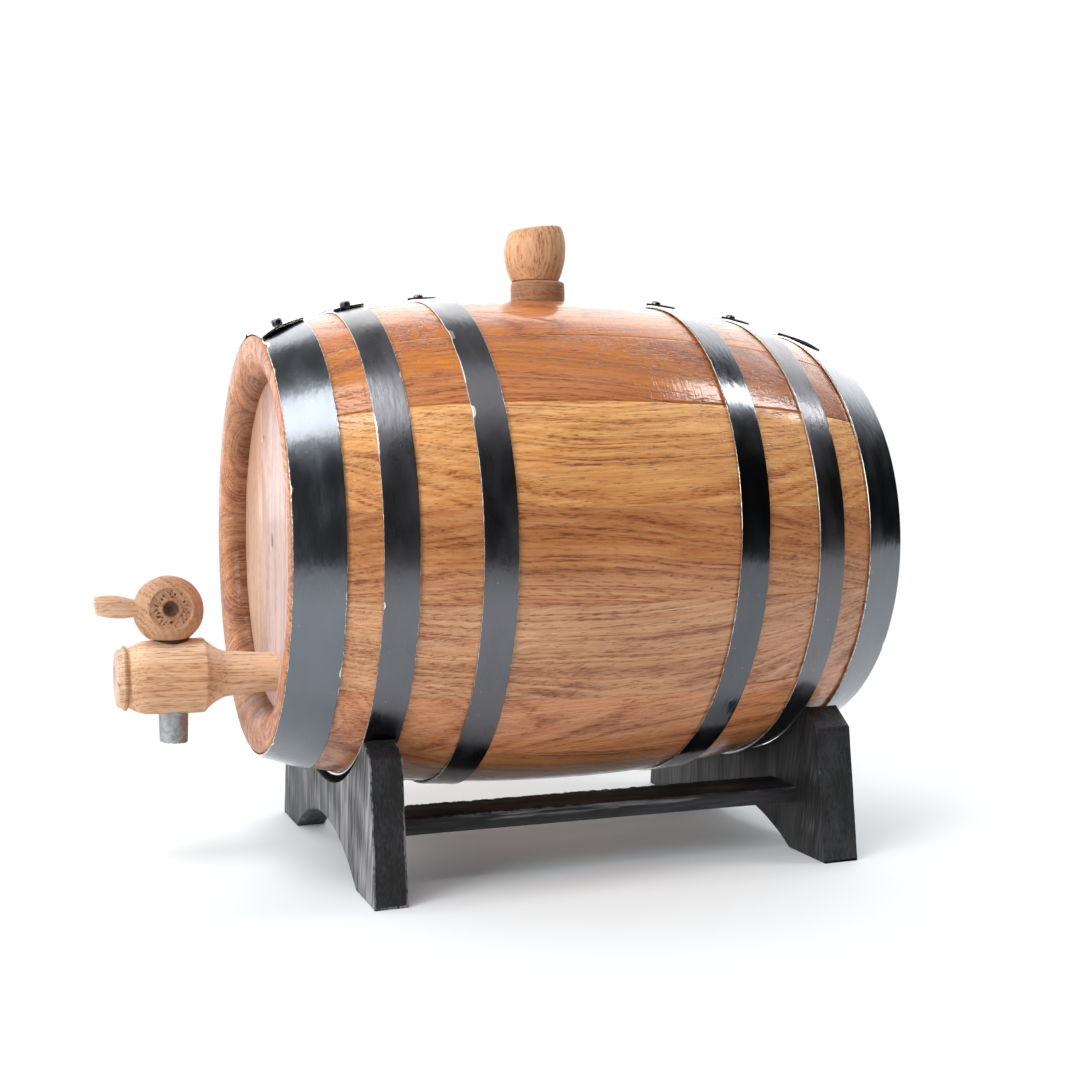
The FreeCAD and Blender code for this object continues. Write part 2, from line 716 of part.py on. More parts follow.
knob_x = key_x - float(dim.knob_offset)
knob_z = spigot_top_z + dim.knob_rise
knob_flat_z = spigot_top_z + dim.seat_gap

port_height = dim.spout_drop
flat_height = knob_flat_z - spigot_z + port_height
plug = lathe("key_plug", "XZ_Plane", "V_Axis", [
    (0, 0),
    (dim.spout_radius, 0),
    (key_radius_at(flat_height), flat_height),
    (dim.key_tenon_radius, flat_height),
    (dim.key_tenon_radius, flat_height + dim.key_tenon_length),
    (0, flat_height + dim.key_tenon_length),
])
take_out(plug, "Cylinder", "key_way", moved(0, 0, -CLEAR), Radius=dim.key_bore_radius,
         Height=port_height + dim.key_port_radius + CLEAR)
take_out(plug, "Cylinder", "key_port",
         moved(0, 0, port_height) * turned(AXIS_X, -QUARTER_TURN),
         Radius=dim.key_port_radius, Height=dim.spigot_barrel_radius)
finish(plug, "spigot_key_plug", moved(key_x, 0, spigot_z - dim.spout_drop))

knob_bow = bow_radius(dim.knob_radius - dim.knob_face_radius, dim.knob_half_length)
dimple_bow = bow_radius(dim.dimple_depth, dim.dimple_radius)
half = dim.knob_half_length
knob_turning = lathe("knob_turning", "XY_Plane", "V_Axis", [
    (0, dim.dimple_depth - half, -dimple_bow),
    (dim.dimple_radius, -half),
    (dim.knob_face_radius, -half, knob_bow),
    (dim.knob_face_radius, half),
    (dim.dimple_radius, half, -dimple_bow),
    (0, half - dim.dimple_depth),
])
knob_turning.Placement = moved(knob_x, 0, knob_z) * turned(AXIS_X, -dim.knob_cant)
block = dim.knob_radius * 2 + CLEAR * 2
knob_offcut = primitive("Box", "knob_offcut",
                        moved(knob_x - float(block) / 2, -block / 2, knob_flat_z - block),
                        Length=block, Width=block, Height=block)
tenon_socket = primitive("Cylinder", "tenon_socket", moved(key_x, 0, knob_flat_z - CLEAR),
                         Radius=dim.key_tenon_radius + dim.glue_gap,
                         Height=dim.key_tenon_length + dim.glue_gap + CLEAR)
peg_line = (moved(knob_x, 0, knob_z) * turned(AXIS_Y, dim.peg_tilt - QUARTER_TURN))
peg_start = dim.knob_radius - dim.peg_tenon_length
peg_socket = primitive("Cylinder", "peg_socket", peg_line * moved(0, 0, peg_start - dim.glue_gap),
                       Radius=dim.peg_tip_radius + dim.glue_gap,
                       Height=dim.peg_tenon_length + CLEAR)
finish(without("knob", knob_turning, knob_offcut, tenon_socket, peg_socket), "spigot_key_knob")

peg = lathe("peg", "XZ_Plane", "V_Axis", [
    (0, peg_start),
    (dim.peg_tip_radius, peg_start),
    (dim.peg_tip_radius, dim.knob_radius, dim.peg_bow),
    (dim.peg_tip_radius, dim.peg_reach),
    (0, dim.peg_reach),
])
finish(peg, "spigot_key_peg", peg_line)


# --------------------------------------------------------------- the stand
# Two boards cut to the cask's round, with an arch below, and two laths
# between them.

def notch_radius(inner_face, hoop):
    """The round of a cradle: just outside the hoop that lies in it."""
    hoop_outside = end_arc_at(inner_face) + hoop.stand_off + dim.strap_thickness
    return hoop_outside + dim.seat_gap


front_notch = notch_radius(dim.front_board_at, HOOPS[1])
rear_notch = notch_radius(dim.rear_board_at, HOOPS[4])
notch_bottom = dim.axis_height - front_notch
front_arch = notch_bottom - dim.web_height
rear_arch = front_arch - dim.rear_arch_drop
shoulder_z = dim.axis_height - dim.shoulder_drop
rail_z = notch_bottom - dim.rail_drop
RAILS = [("near", -dim.rail_inner - dim.rail_width), ("far", dim.rail_inner)]


def cradle(label, x, thickness, notch, arch, housing_x):
    """One cradle board with its outer or inner face at x, and its housings."""
    body = doc.addObject("PartDesign::Body", label + "_board")
    horn = dim.axis_height - (notch * notch
                              - dim.horn_half_width * dim.horn_half_width).root()
    sketch = outline(body, "YZ_Plane", [
        (-dim.foot_outer, 0),
        (-dim.foot_inner, 0, -bow_radius(arch, dim.foot_inner)),
        (dim.foot_inner, 0),
        (dim.foot_outer, 0),
        (dim.shoulder_half_width, shoulder_z),
        (dim.horn_half_width, horn, -notch),
        (-dim.horn_half_width, horn),
        (-dim.shoulder_half_width, shoulder_z),
    ])
    pad = body.newObject("PartDesign::Pad", label + "_pad")
    pad.Profile = sketch
    bind(pad, Length=thickness)
    sketch.Visibility = False
    for hand, y in RAILS:
        take_out(body, "Box", "%s_%s_housing" % (label, hand),
                 moved(housing_x, y - dim.glue_gap, rail_z - dim.glue_gap),
                 Length=dim.housing_depth + CLEAR,
                 Width=dim.rail_width + dim.glue_gap * 2,
                 Height=dim.rail_thickness + dim.glue_gap * 2)
    finish(body, label, moved(CASK_X + float(x)))


cradle("cradle_front", -dim.front_board_at - dim.front_board_thickness,
       dim.front_board_thickness, front_notch, front_arch,
       dim.front_board_thickness - dim.housing_depth)
cradle("cradle_rear", dim.rear_board_at, dim.rear_board_thickness, rear_notch, rear_arch,
       -CLEAR)

rail_start = -dim.front_board_at - dim.housing_depth + dim.glue_gap
rail_end = dim.rear_board_at + dim.housing_depth - dim.glue_gap
for hand, y in RAILS:
    label = "rail_" + hand
    rail = primitive("Box", label, moved(CASK_X + float(rail_start), y, rail_z),
                     Length=rail_end - rail_start, Width=dim.rail_width,
                     Height=dim.rail_thickness)
    finish(rail, label)


# ------------------------------------------------------ checks and export

doc.recompute()

for item in doc.Objects:
    if "Invalid" in item.State or "Error" in item.State:
        raise RuntimeError("%s: %s" % (item.Name, item.State))
for sketch in doc.findObjects("Sketcher::SketchObject"):
    if sketch.solve() != 0:
        raise RuntimeError("%s doesn't solve" % sketch.Name)

os.makedirs("parts", exist_ok=True)
for piece in finished:
    shape = piece.Shape
    if shape.isNull() or not shape.isValid() or len(shape.Solids) != 1:
        raise RuntimeError("%s is not one valid solid" % piece.Label)
    shape.exportStep("parts/%s.step" % piece.Label)
    box = shape.BoundBox
    print("%-20s %9.1f mm3  x %7.2f %7.2f  y %7.2f %7.2f  z %7.2f %7.2f" % (
        piece.Label, shape.Volume, box.XMin, box.XMax, box.YMin, box.YMax,
        box.ZMin, box.ZMax))
print(len(finished), "sub-parts")
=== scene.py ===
import math

import bpy
import numpy as np
from mathutils import Euler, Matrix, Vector


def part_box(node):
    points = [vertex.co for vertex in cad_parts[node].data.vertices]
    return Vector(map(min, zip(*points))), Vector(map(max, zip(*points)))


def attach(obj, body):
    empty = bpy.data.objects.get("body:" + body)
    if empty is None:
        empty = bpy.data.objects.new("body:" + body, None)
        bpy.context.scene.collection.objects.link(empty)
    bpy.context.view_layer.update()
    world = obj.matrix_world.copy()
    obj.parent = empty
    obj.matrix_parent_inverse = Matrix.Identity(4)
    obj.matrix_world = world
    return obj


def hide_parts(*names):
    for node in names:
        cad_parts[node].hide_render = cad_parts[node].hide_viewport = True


# A small oak cask for spirits on its black stand.  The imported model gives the
# places; every piece here is worked out in millimetres, in the same frame,
# and becomes metres when its mesh is made.

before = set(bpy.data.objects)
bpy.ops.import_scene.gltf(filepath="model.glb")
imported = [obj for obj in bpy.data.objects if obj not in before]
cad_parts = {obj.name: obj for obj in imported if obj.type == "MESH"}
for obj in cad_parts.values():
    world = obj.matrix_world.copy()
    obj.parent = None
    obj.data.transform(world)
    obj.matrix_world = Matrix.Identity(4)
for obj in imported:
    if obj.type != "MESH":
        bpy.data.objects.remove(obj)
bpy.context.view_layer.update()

MM = 0.001             # a millimetre in metres
FRONT, REAR = -1, 1    # the cask's two ends, along X


def box_mm(node):
    """Lowest and highest corner of a node, in millimetres."""
    low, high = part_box(node)
    return np.array(low) / MM, np.array(high) / MM


# ------------------------------------------------------------------ colours

def paint(code):
    """An sRGB hex colour as linear red, green, blue and an alpha of one."""
    values = [int(code[i:i + 2], 16) / 255 for i in (1, 3, 5)]
    linear = [v / 12.92 if v <= 0.04045 else ((v + 0.055) / 1.055) ** 2.4 for v in values]
    return (*linear, 1.0)


# ------------------------------------------------------------------- shapes

def unevenness(seed, coordinates, lengths, waves=7):
    """Smooth random waves between about -1 and 1.

    A sum of sines over the given coordinates, each with a random direction
    and phase; lengths are the typical wavelengths along each coordinate.
    """
    dice = np.random.default_rng(seed)
    total = 0.0
    for _ in range(waves):
        phase = dice.uniform(0, 2 * math.pi)
        for place, length in zip(coordinates, lengths):
            phase = phase + place * dice.uniform(-1, 1) * 2 * math.pi * 1.7 / length
        total = total + np.sin(phase)
    return total / math.sqrt(waves * 2)


def smooth_step(low, high, value):
    """Rises from 0 at low to 1 at high with level ends."""
    t = np.clip((value - low) / (high - low), 0, 1)
    return t * t * (3 - 2 * t)


def along(start, stop, count, ease=0.0):
    """Numbers from start to stop; ease above 0 crowds them at both ends."""
    t = np.linspace(0, 1, count)
    return start + (stop - start) * (t * (1 - ease) + smooth_step(0, 1, t) * ease)


def corner(centre, radius, start, stop, count=5):
    """Points of a rounded corner: an arc between two angles in degrees."""
    a = np.radians(np.linspace(start, stop, count))
    return np.stack([centre[0] + radius * np.cos(a), centre[1] + radius * np.sin(a)], -1)


def bar_section(width, thick, radius, across, deep=3):
    """Loop of a rounded rectangle, u from -width/2 to width/2, v from 0 to thick."""
    u, v = width / 2 - radius, thick - radius
    flat = np.linspace(-u, u, across)[1:-1]
    side = np.linspace(radius, v, deep)[1:-1]
    parts = [
        np.stack([flat, np.zeros_like(flat)], -1),
        corner((u, radius), radius, -90, 0),
        np.stack([np.full_like(side, width / 2), side], -1),
        corner((u, v), radius, 0, 90),
        np.stack([flat[::-1], np.full_like(flat, thick)], -1),
        corner((-u, v), radius, 90, 180),
        np.stack([np.full_like(side, -width / 2), side[::-1]], -1),
        corner((-u, radius), radius, 180, 270),
    ]
    return np.concatenate(parts)


def inward_normals(loop):
    """Unit vectors to the right of the way round, inward on a clockwise loop."""
    way = np.roll(loop, -1, 0) - np.roll(loop, 1, 0)
    right = np.stack([way[:, 1], -way[:, 0]], -1)
    return right / np.linalg.norm(right, axis=1, keepdims=True)


def turned(profile, count=96):
    """Rings of a lathe profile (along, radius) about +Z: grid of rows by count."""
    a = np.linspace(0, 2 * math.pi, count, endpoint=False)
    run, radius = profile[:, :1], profile[:, 1:]
    return np.stack([radius * np.cos(a), radius * np.sin(a), run + 0 * a], -1)


def plain_tint(grid, code):
    """One colour and an alpha of one at every point of a grid."""
    return np.ones(grid.shape[:2] + (1,)) * np.array(paint(code))


def make(name, grid, body, nodes, finish, wrap_rows=False, grain=None, tint=None,
         wear=None, crease=32):
    """A closed mesh from a grid of points (rows, columns, xyz) in millimetres.

    Neighbours are joined by quads and the columns close on themselves.  Rows
    close too with wrap_rows; otherwise the first and last row get a flat lid.
    The faces are turned over if the enclosed volume comes out negative.
    """
    rows, columns = grid.shape[:2]
    index = np.arange(rows * columns).reshape(rows, columns)
    ring = np.hstack([index, index[:, :1]])
    if wrap_rows:
        ring = np.vstack([ring, ring[:1]])
    quads = np.stack([ring[:-1, :-1], ring[:-1, 1:], ring[1:, 1:], ring[1:, :-1]], -1)
    quads = quads.reshape(-1, 4)
    lids = [] if wrap_rows else [index[0][::-1], index[-1]]
    points = grid.reshape(-1, 3)
    fans = [np.stack([np.full(len(lid) - 2, lid[0]), lid[1:-1], lid[2:]], -1) for lid in lids]
    flat = np.concatenate([quads[:, [0, 1, 2]], quads[:, [0, 2, 3]]] + fans)
    a, b, c = (points[flat[:, i]] - points.mean(0) for i in range(3))
    faces = quads.tolist() + [lid.tolist() for lid in lids]
    if np.einsum("ij,ij->i", a, np.cross(b, c)).sum() < 0:
        faces = [face[::-1] for face in faces]
    mesh = bpy.data.meshes.new(name)
    mesh.from_pydata((points * MM).tolist(), [], faces)
    mesh.polygons.foreach_set("use_smooth", [True] * len(faces))
    mesh.set_sharp_from_angle(angle=math.radians(crease))
    for label, values, kind in (("grain", grain, "FLOAT_VECTOR"), ("tint", tint, "FLOAT_COLOR"),
                                ("wear", wear, "FLOAT")):
        if values is None:
            continue
        layer = mesh.attributes.new(label, kind, "POINT")
        key = {"FLOAT_VECTOR": "vector", "FLOAT_COLOR": "color", "FLOAT": "value"}[kind]
        layer.data.foreach_set(key, np.asarray(values, np.float32).ravel())
    mesh.materials.append(finish)
    piece = bpy.data.objects.new(name, mesh)
    bpy.context.scene.collection.objects.link(piece)
    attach(piece, body)
    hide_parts(*nodes)
    return piece


# ---------------------------------------------------------------- materials

def add(tree, kind, inputs=(), out=0, stops=(), **settings):
    """Add a node with its settings, set or link its inputs, return one output."""
    node = tree.nodes.new("ShaderNode" + kind)
    for name, value in settings.items():
        setattr(node, name, value)
    for key, value in dict(inputs).items():
        if isinstance(value, bpy.types.NodeSocket):
            tree.links.new(value, node.inputs[key])
        else:
            node.inputs[key].default_value = value
    for position, colour in stops:
        nearest = [e for e in node.color_ramp.elements if abs(e.position - position) < 1e-4]
        element = nearest[0] if nearest else node.color_ramp.elements.new(position)
        element.color = colour
    return node.outputs[out] if len(node.outputs) else None


def new_material(name):
    """An empty node material; returns the material and its node tree."""
    material = bpy.data.materials.new(name)
    material.use_nodes = True
    material.node_tree.nodes.clear()
    return material, material.node_tree


def oak(name, varnish, gloss, streaks=1.0, ring_pitch=2.4, pore_relief=0.07, chatter=0.0):
    """Sawn or turned oak, cut through as solid wood.

    The grain attribute is a place in the tree in millimetres, x along the
    trunk and y, z from its heart.  Rings are the distance from the heart over
    the pitch, run fast and slow by noise; each year starts with a darker
    porous band, and pores are dashes about 0.4 mm wide and 4 mm long that
    crowd into that band, a little wider than real ones so that they show.  The
    tint attribute is the wood's own colour, and its alpha says how much
    varnish stands on it.
    """
    material, tree = new_material(name)
    place = add(tree, "Attribute", out=1, attribute_name="grain")
    tint = add(tree, "Attribute", out=0, attribute_name="tint")
    # slow bends of the fibres, a few millimetres over a hand's width
    slow = add(tree, "VectorMath", {0: place, 1: (0.012, 0.035, 0.035)}, operation="MULTIPLY")
    bend = add(tree, "TexNoise", {"Vector": slow, "Scale": 1.0, "Detail": 3.0}, out=1)
    bend = add(tree, "VectorMath", {0: bend, 1: (0.5, 0.5, 0.5)}, operation="SUBTRACT")
    bend = add(tree, "VectorMath", {0: bend, 1: (0.0, 6.0, 6.0)}, operation="MULTIPLY")
    bent = add(tree, "VectorMath", {0: place, 1: bend}, operation="ADD")
    radial = add(tree, "VectorMath", {0: bent, 1: (0.0, 1.0, 1.0)}, operation="MULTIPLY")
    reach = add(tree, "VectorMath", {0: radial}, out=1, operation="LENGTH")
    pace = add(tree, "TexNoise", {"W": reach, "Scale": 0.16, "Detail": 2.0},
               noise_dimensions="1D")
    year = add(tree, "Math", {0: reach, 1: ring_pitch}, operation="DIVIDE")
    year = add(tree, "Math", {0: pace, 1: 4.0, 2: year}, operation="MULTIPLY_ADD")
    year = add(tree, "Math", {0: year}, operation="FRACT")
    early = add(tree, "ValToRGB", {0: year}, stops=(
        (0.0, (0.5, 0.5, 0.5, 1)), (0.15, (1, 1, 1, 1)), (0.5, (0.4, 0.4, 0.4, 1)),
        (0.82, (0, 0, 0, 1)), (1.0, (0.5, 0.5, 0.5, 1))))
    # Noise in waves per millimetre: growth that comes and goes along the board,
    # pores as long thin dashes, and fibres as hairlines and soft streaks.
    cloud, dashes, fibre = (
        add(tree, "TexNoise", {
            "Vector": add(tree, "VectorMath", {0: start, 1: waves}, operation="MULTIPLY"),
            "Scale": 1.0, "Detail": detail, "Roughness": rough})
        for start, waves, detail, rough in (
            (place, (0.022, 0.11, 0.11), 2.0, 0.5), (bent, (0.19, 1.9, 1.9), 2.0, 0.6),
            (bent, (0.02, 0.85, 0.85), 5.0, 0.68)))
    band = add(tree, "MapRange", {0: cloud, 1: 0.3, 2: 0.7, 3: 0.25 * streaks, 4: streaks})
    band = add(tree, "Math", {0: early, 1: band}, operation="MULTIPLY")
    for crowding, amount in ((early, 0.12), (cloud, 0.2)):
        dashes = add(tree, "Math", {0: crowding, 1: amount, 2: dashes},
                     operation="MULTIPLY_ADD")
    pores = add(tree, "MapRange", {0: dashes, 1: 0.69, 2: 0.83, 3: 0.0,
                                   4: 0.4 + 0.42 * streaks})
    streak = add(tree, "MapRange", {0: fibre, 1: 0.36, 2: 0.66, 3: 0.85 * streaks, 4: 0.0})
    blotch = add(tree, "MapRange", {0: cloud, 1: 0.3, 2: 0.7, 3: 1 + 0.08 * streaks,
                                    4: 1 - 0.1 * streaks})
    wood = add(tree, "VectorMath", {0: tint, 3: blotch}, operation="SCALE")
    for share, shade in ((streak, "#ddbd9a"), (band, "#d8b38c"), (pores, "#ac866a")):
        wood = add(tree, "Mix", {0: share, 6: wood, 7: paint(shade)}, out=2,
                   data_type="RGBA", blend_type="MULTIPLY")
    relief = add(tree, "Math", {0: fibre, 1: 0.35}, operation="MULTIPLY")
    relief = add(tree, "Math", {0: pores, 1: -1.0, 2: relief}, operation="MULTIPLY_ADD")
    if chatter:
        # ripples left by the planer, about a millimetre apart across the grain
        across = add(tree, "VectorMath", {0: place, 1: (1.0, 0.1, 0.1)}, operation="MULTIPLY")
        ripple = add(tree, "TexNoise", {"Vector": across, "Scale": 1.0, "Detail": 2.0})
        relief = add(tree, "Math", {0: ripple, 1: chatter, 2: relief}, operation="MULTIPLY_ADD")
    bump = add(tree, "Bump", {"Height": relief, "Distance": pore_relief * MM, "Strength": 1.0})
    rough = add(tree, "MapRange", {0: fibre, 1: 0.35, 2: 0.65, 3: gloss + 0.06, 4: gloss - 0.04})
    brushed_on = 0.0
    if varnish:     # where little of it stands, the wood is rougher
        brushed_on = add(tree, "Attribute", out=3, attribute_name="tint")
        rough = add(tree, "Math", {0: rough, 1: 0.3}, operation="ADD")
        rough = add(tree, "Math", {0: brushed_on, 1: -0.3, 2: rough}, operation="MULTIPLY_ADD")
    skin = add(tree, "BsdfPrincipled", {
        "Base Color": wood, "Roughness": rough, "IOR": 1.5,
        "Specular IOR Level": 0.5 - 0.35 * varnish, "Coat Weight": brushed_on,
        "Coat Roughness": 0.11, "Coat IOR": 1.5, "Normal": bump, "Coat Normal": bump})
    add(tree, "OutputMaterial", {"Surface": skin})
    return material


# Oak staves: sawn, planed, bent and brushed with clear varnish, which gives a
# wet gloss that the open pores break up.
varnished_oak = oak("varnished_oak", 1.0, 0.42, chatter=1.0)
# The heads were sanded finer before the same varnish, so their grain is faint.
sanded_oak = oak("sanded_varnished_oak", 1.0, 0.42, streaks=0.22, pore_relief=0.03, chatter=0.4)
# Oak that was turned and left bare: dull, pale and with rough open pores.
bare_turned_oak = oak("bare_turned_oak", 0.0, 0.62, streaks=0.5, ring_pitch=1.9,
                      pore_relief=0.16)


def blackened_steel(name, gloss, coat, base, worn, brushing):
    """Steel strap, blackened hot and then clear lacquered.

    The grain attribute is millimetres along the strap, across it and up.
    Brush lines are noise stretched 160 to 1 along the strap and 0.3 mm apart,
    coarser than real ones so that they show.  The wear attribute is 1 on the
    strap's corners, where noise lets bare steel show.  Specks of dust are dots
    of a third of a millimetre, one in each cell of 4.5 mm.
    """
    material, tree = new_material(name)
    place = add(tree, "Attribute", out=1, attribute_name="grain")
    wear = add(tree, "Attribute", out=2, attribute_name="wear")
    # Noise in waves per millimetre: brush lines, clouds, grit, and the waves of
    # a few millimetres that hammering and the lacquer's own flow have left.
    brush, cloud, gritty, flow = (
        add(tree, "TexNoise", {
            "Vector": add(tree, "VectorMath", {0: place, 1: waves}, operation="MULTIPLY"),
            "Scale": 1.0, "Detail": detail, "Roughness": rough})
        for waves, detail, rough in (
            ((0.02, 3.2, 0.5), 3.0, 0.5), ((0.05, 0.11, 0.1), 4.0, 0.5),
            ((0.55, 0.9, 0.9), 4.0, 0.65), ((0.2, 0.6, 0.4), 2.0, 0.5)))
    chipped = add(tree, "Math", {0: wear, 1: gritty}, operation="MULTIPLY")
    chipped = add(tree, "MapRange", {0: chipped, 1: 0.43, 2: 0.5, 3: 0.0, 4: 1.0})
    dust = add(tree, "TexVoronoi", {"Vector": place, "Scale": 0.22})
    dust = add(tree, "MapRange", {0: dust, 1: 0.04, 2: 0.07, 3: 0.6, 4: 0.0})
    colour = paint(base)
    for share, shade in ((cloud, worn), (dust, "#a9a7a2"), (chipped, "#dcdcd8")):
        colour = add(tree, "Mix", {0: share, 6: colour, 7: paint(shade)}, out=2,
                     data_type="RGBA")
    rough = add(tree, "MapRange", {0: cloud, 1: 0.3, 2: 0.7, 3: gloss - 0.06, 4: gloss + 0.09})
    height = add(tree, "Math", {0: brush, 1: brushing, 2: gritty}, operation="MULTIPLY_ADD")
    height = add(tree, "Math", {0: flow, 1: 7.0, 2: height}, operation="MULTIPLY_ADD")
    bump = add(tree, "Bump", {"Height": height, "Distance": 0.01 * MM, "Strength": 1.0})
    skin = add(tree, "BsdfPrincipled", {
        "Base Color": colour, "Metallic": 1.0, "Roughness": rough,
        "Coat Weight": 0.6, "Coat Roughness": coat, "Coat IOR": 1.5, "Normal": bump,
        "Coat Normal": bump})
    add(tree, "OutputMaterial", {"Surface": skin})
    return material


# Strap steel, rolled, blackened and clear lacquered.  The wide hoops came out
# glossy with a blue cast, the narrow ones were brushed and are satin grey, and
# the rear bilge hoop was blued darker and shines most.
glossy_strap = blackened_steel("blued_strap_steel", 0.2, 0.09, "#62666b", "#70767d", 0.8)
satin_strap = blackened_steel("brushed_black_strap_steel", 0.29, 0.17, "#5a5a5e", "#6e6e73", 1.4)
dark_strap = blackened_steel("dark_blued_strap_steel", 0.17, 0.08, "#4b4d52", "#5b5e63", 0.9)


def stained_board():
    """Softwood board, sawn, stained black and hardly lacquered.

    The grain attribute is millimetres along the board's fibres (x) and across
    them.  Fibres are noise under a millimetre wide, stretched 20 to 1; years
    are the same noise 3.5 mm wide.  Where the wear attribute and they are
    high, the wood shows grey: the stain is rubbed thin, and on the boards'
    faces and the laths' sides the grey is partly painted sheen.
    """
    material, tree = new_material("black_stained_softwood")
    place = add(tree, "Attribute", out=1, attribute_name="grain")
    wear = add(tree, "Attribute", out=2, attribute_name="wear")
    # Noise in waves per millimetre: fibres, years and slow clouds in the stain.
    fibre, years, cloud = (
        add(tree, "TexNoise", {
            "Vector": add(tree, "VectorMath", {0: place, 1: waves}, operation="MULTIPLY"),
            "Scale": 1.0, "Detail": detail, "Roughness": rough})
        for waves, detail, rough in (
            ((0.06, 1.3, 1.3), 4.0, 0.6), ((0.016, 0.27, 0.27), 2.0, 0.5),
            ((0.02, 0.12, 0.12), 3.0, 0.5)))
    both = add(tree, "Math", {0: fibre, 1: cloud}, operation="MULTIPLY")
    colour = add(tree, "ValToRGB", {0: both}, stops=(
        (0.0, paint("#111112")), (0.2, paint("#1d1d1e")), (0.32, paint("#303032")),
        (0.5, paint("#3b3b3e")), (1.0, paint("#47474a"))))
    # rubbed stain on edges; on the faces the same grey is partly painted sheen
    rub_and_sheen = add(tree, "Math", {0: fibre, 1: years}, operation="ADD")
    rub_and_sheen = add(tree, "Math", {0: wear, 1: rub_and_sheen}, operation="MULTIPLY")
    rub_and_sheen = add(tree, "MapRange", {0: rub_and_sheen, 1: 0.7, 2: 1.04, 3: 0.0, 4: 0.9})
    colour = add(tree, "Mix", {0: rub_and_sheen, 6: colour, 7: paint("#98969a")}, out=2,
                 data_type="RGBA")
    rough = add(tree, "MapRange", {0: both, 1: 0.12, 2: 0.38, 3: 0.62, 4: 0.38})
    bump = add(tree, "Bump", {"Height": fibre, "Distance": 0.2 * MM, "Strength": 0.8})
    skin = add(tree, "BsdfPrincipled", {
        "Base Color": colour, "Roughness": rough, "IOR": 1.5, "Specular IOR Level": 0.35,
        "Normal": bump})
    add(tree, "OutputMaterial", {"Surface": skin})
    return material


# Softwood boards, sawn and stained black: near matt, with the saw's rough
# fibres in low light, grey where hands and table have rubbed the stain, and
# grey painted sheen on the faces.
black_softwood = stained_board()

# Height up to which the key's tube keeps its grey; above it the tube is painted dark
# brown, as painted shade in the gap under the knob.
GAP_SHADE_Z = 82.0


def dull_aluminium():
    """Drawn aluminium tube, dulled: mottled grey, a little rough.

    Object coordinates; blotches of about 2 mm and pits of about 0.3 mm.  Painted shade
    turns the tube dark brown where it comes out of the spigot's top, under the knob.
    """
    material, tree = new_material("dull_drawn_aluminium")
    place = add(tree, "TexCoord", out=3)
    height = add(tree, "SeparateXYZ", {0: place}, out=2)
    # painted shade: dark brown on the tube's top, in the gap under the knob
    gap_shade = add(tree, "MapRange", {0: height, 1: GAP_SHADE_Z * MM, 2: (GAP_SHADE_Z + 1) * MM,
                                   3: 0.0, 4: 1.0})
    blotch = add(tree, "TexNoise", {"Vector": place, "Scale": 420.0, "Detail": 5.0,
                                    "Roughness": 0.7})
    colour = add(tree, "ValToRGB", {0: blotch}, stops=(
        (0.0, paint("#6e6e71")), (0.42, paint("#97989b")), (0.6, paint("#b4b5b8")),
        (1.0, paint("#cdced1"))))
    colour = add(tree, "Mix", {0: gap_shade, 6: colour, 7: paint("#453024")}, out=2,
                 data_type="RGBA")
    rough = add(tree, "MapRange", {0: blotch, 1: 0.3, 2: 0.7, 3: 0.52, 4: 0.36})
    bump = add(tree, "Bump", {"Height": blotch, "Distance": 0.08 * MM, "Strength": 1.0})
    skin = add(tree, "BsdfPrincipled", {
        "Base Color": colour, "Metallic": 0.75, "Roughness": rough, "Normal": bump})
    add(tree, "OutputMaterial", {"Surface": skin})
    return material


# Aluminium tube, drawn and left to go dull: a soft grey sheen and no mirror.
key_metal = dull_aluminium()


# ----------------------------------------------------------- the cask's form

CASK_LOW, CASK_HIGH = box_mm("stave_01")
CASK_X = (CASK_LOW[0] + CASK_HIGH[0]) / 2
HALF_LENGTH = (CASK_HIGH[0] - CASK_LOW[0]) / 2
AXIS_Z = 124.0
BELLY_RADIUS = 97.65
END_RADIUS = 79.9
FLAT_HALF = HALF_LENGTH / 2     # half the length of the flat middle arc
FLAT_FALL = (BELLY_RADIUS - END_RADIUS) * 0.179     # what the radius loses over it
WALL = 17.0                     # thickness of the staves at the belly
HEAD_RADIUS = 63.8
HEAD_DEPTH = 9.0                # how far the heads lie inside the staves' ends
HEAD_X = HALF_LENGTH - HEAD_DEPTH
CHIME_WIDTH = 11.8
CROZE_X = HEAD_X - 6.0          # the croze is the groove that holds a head
CROZE_RADIUS = HEAD_RADIUS + 3.0
BUNG_X = CASK_X - 2.8
BUNG_HOLE = 8.3


def bow_radius(rise, run):
    """Radius of an arc that covers a rise over a run from its top."""
    return (rise * rise + run * run) / (2 * rise)


# The end arc meets the flat one with one direction, the unit normal (_nx, _ny),
# and reaches END_RADIUS at the staves' ends.
FLAT_ARC = bow_radius(FLAT_FALL, FLAT_HALF)
_run = HALF_LENGTH - FLAT_HALF
_fall = BELLY_RADIUS - FLAT_FALL - END_RADIUS
_nx = FLAT_HALF / FLAT_ARC
_ny = (FLAT_ARC - FLAT_FALL) / FLAT_ARC
END_ARC = (_run * _run + _fall * _fall) / (2 * (_fall * _ny - _run * _nx))
END_ARC_X = FLAT_HALF - END_ARC * _nx
END_ARC_Y = BELLY_RADIUS - FLAT_FALL - END_ARC * _ny


def cask_radius(x):
    """Outside radius of the staves at x from mid cask.

    A flat arc in the middle, and tangent to it a tighter arc to each end.
    """
    x = np.abs(x)
    flat = np.sqrt(FLAT_ARC ** 2 - x ** 2) - (FLAT_ARC - BELLY_RADIUS)
    tight = np.sqrt(np.maximum(END_ARC ** 2 - (x - END_ARC_X) ** 2, 0)) + END_ARC_Y
    return np.where(x < FLAT_HALF, flat, tight)


def wall_radius(x):
    """Inside radius of the staves: one arc between the head grooves."""
    rise = BELLY_RADIUS - WALL - HEAD_RADIUS
    arc = bow_radius(rise, CROZE_X)
    return np.sqrt(arc ** 2 - x ** 2) - arc + HEAD_RADIUS + rise


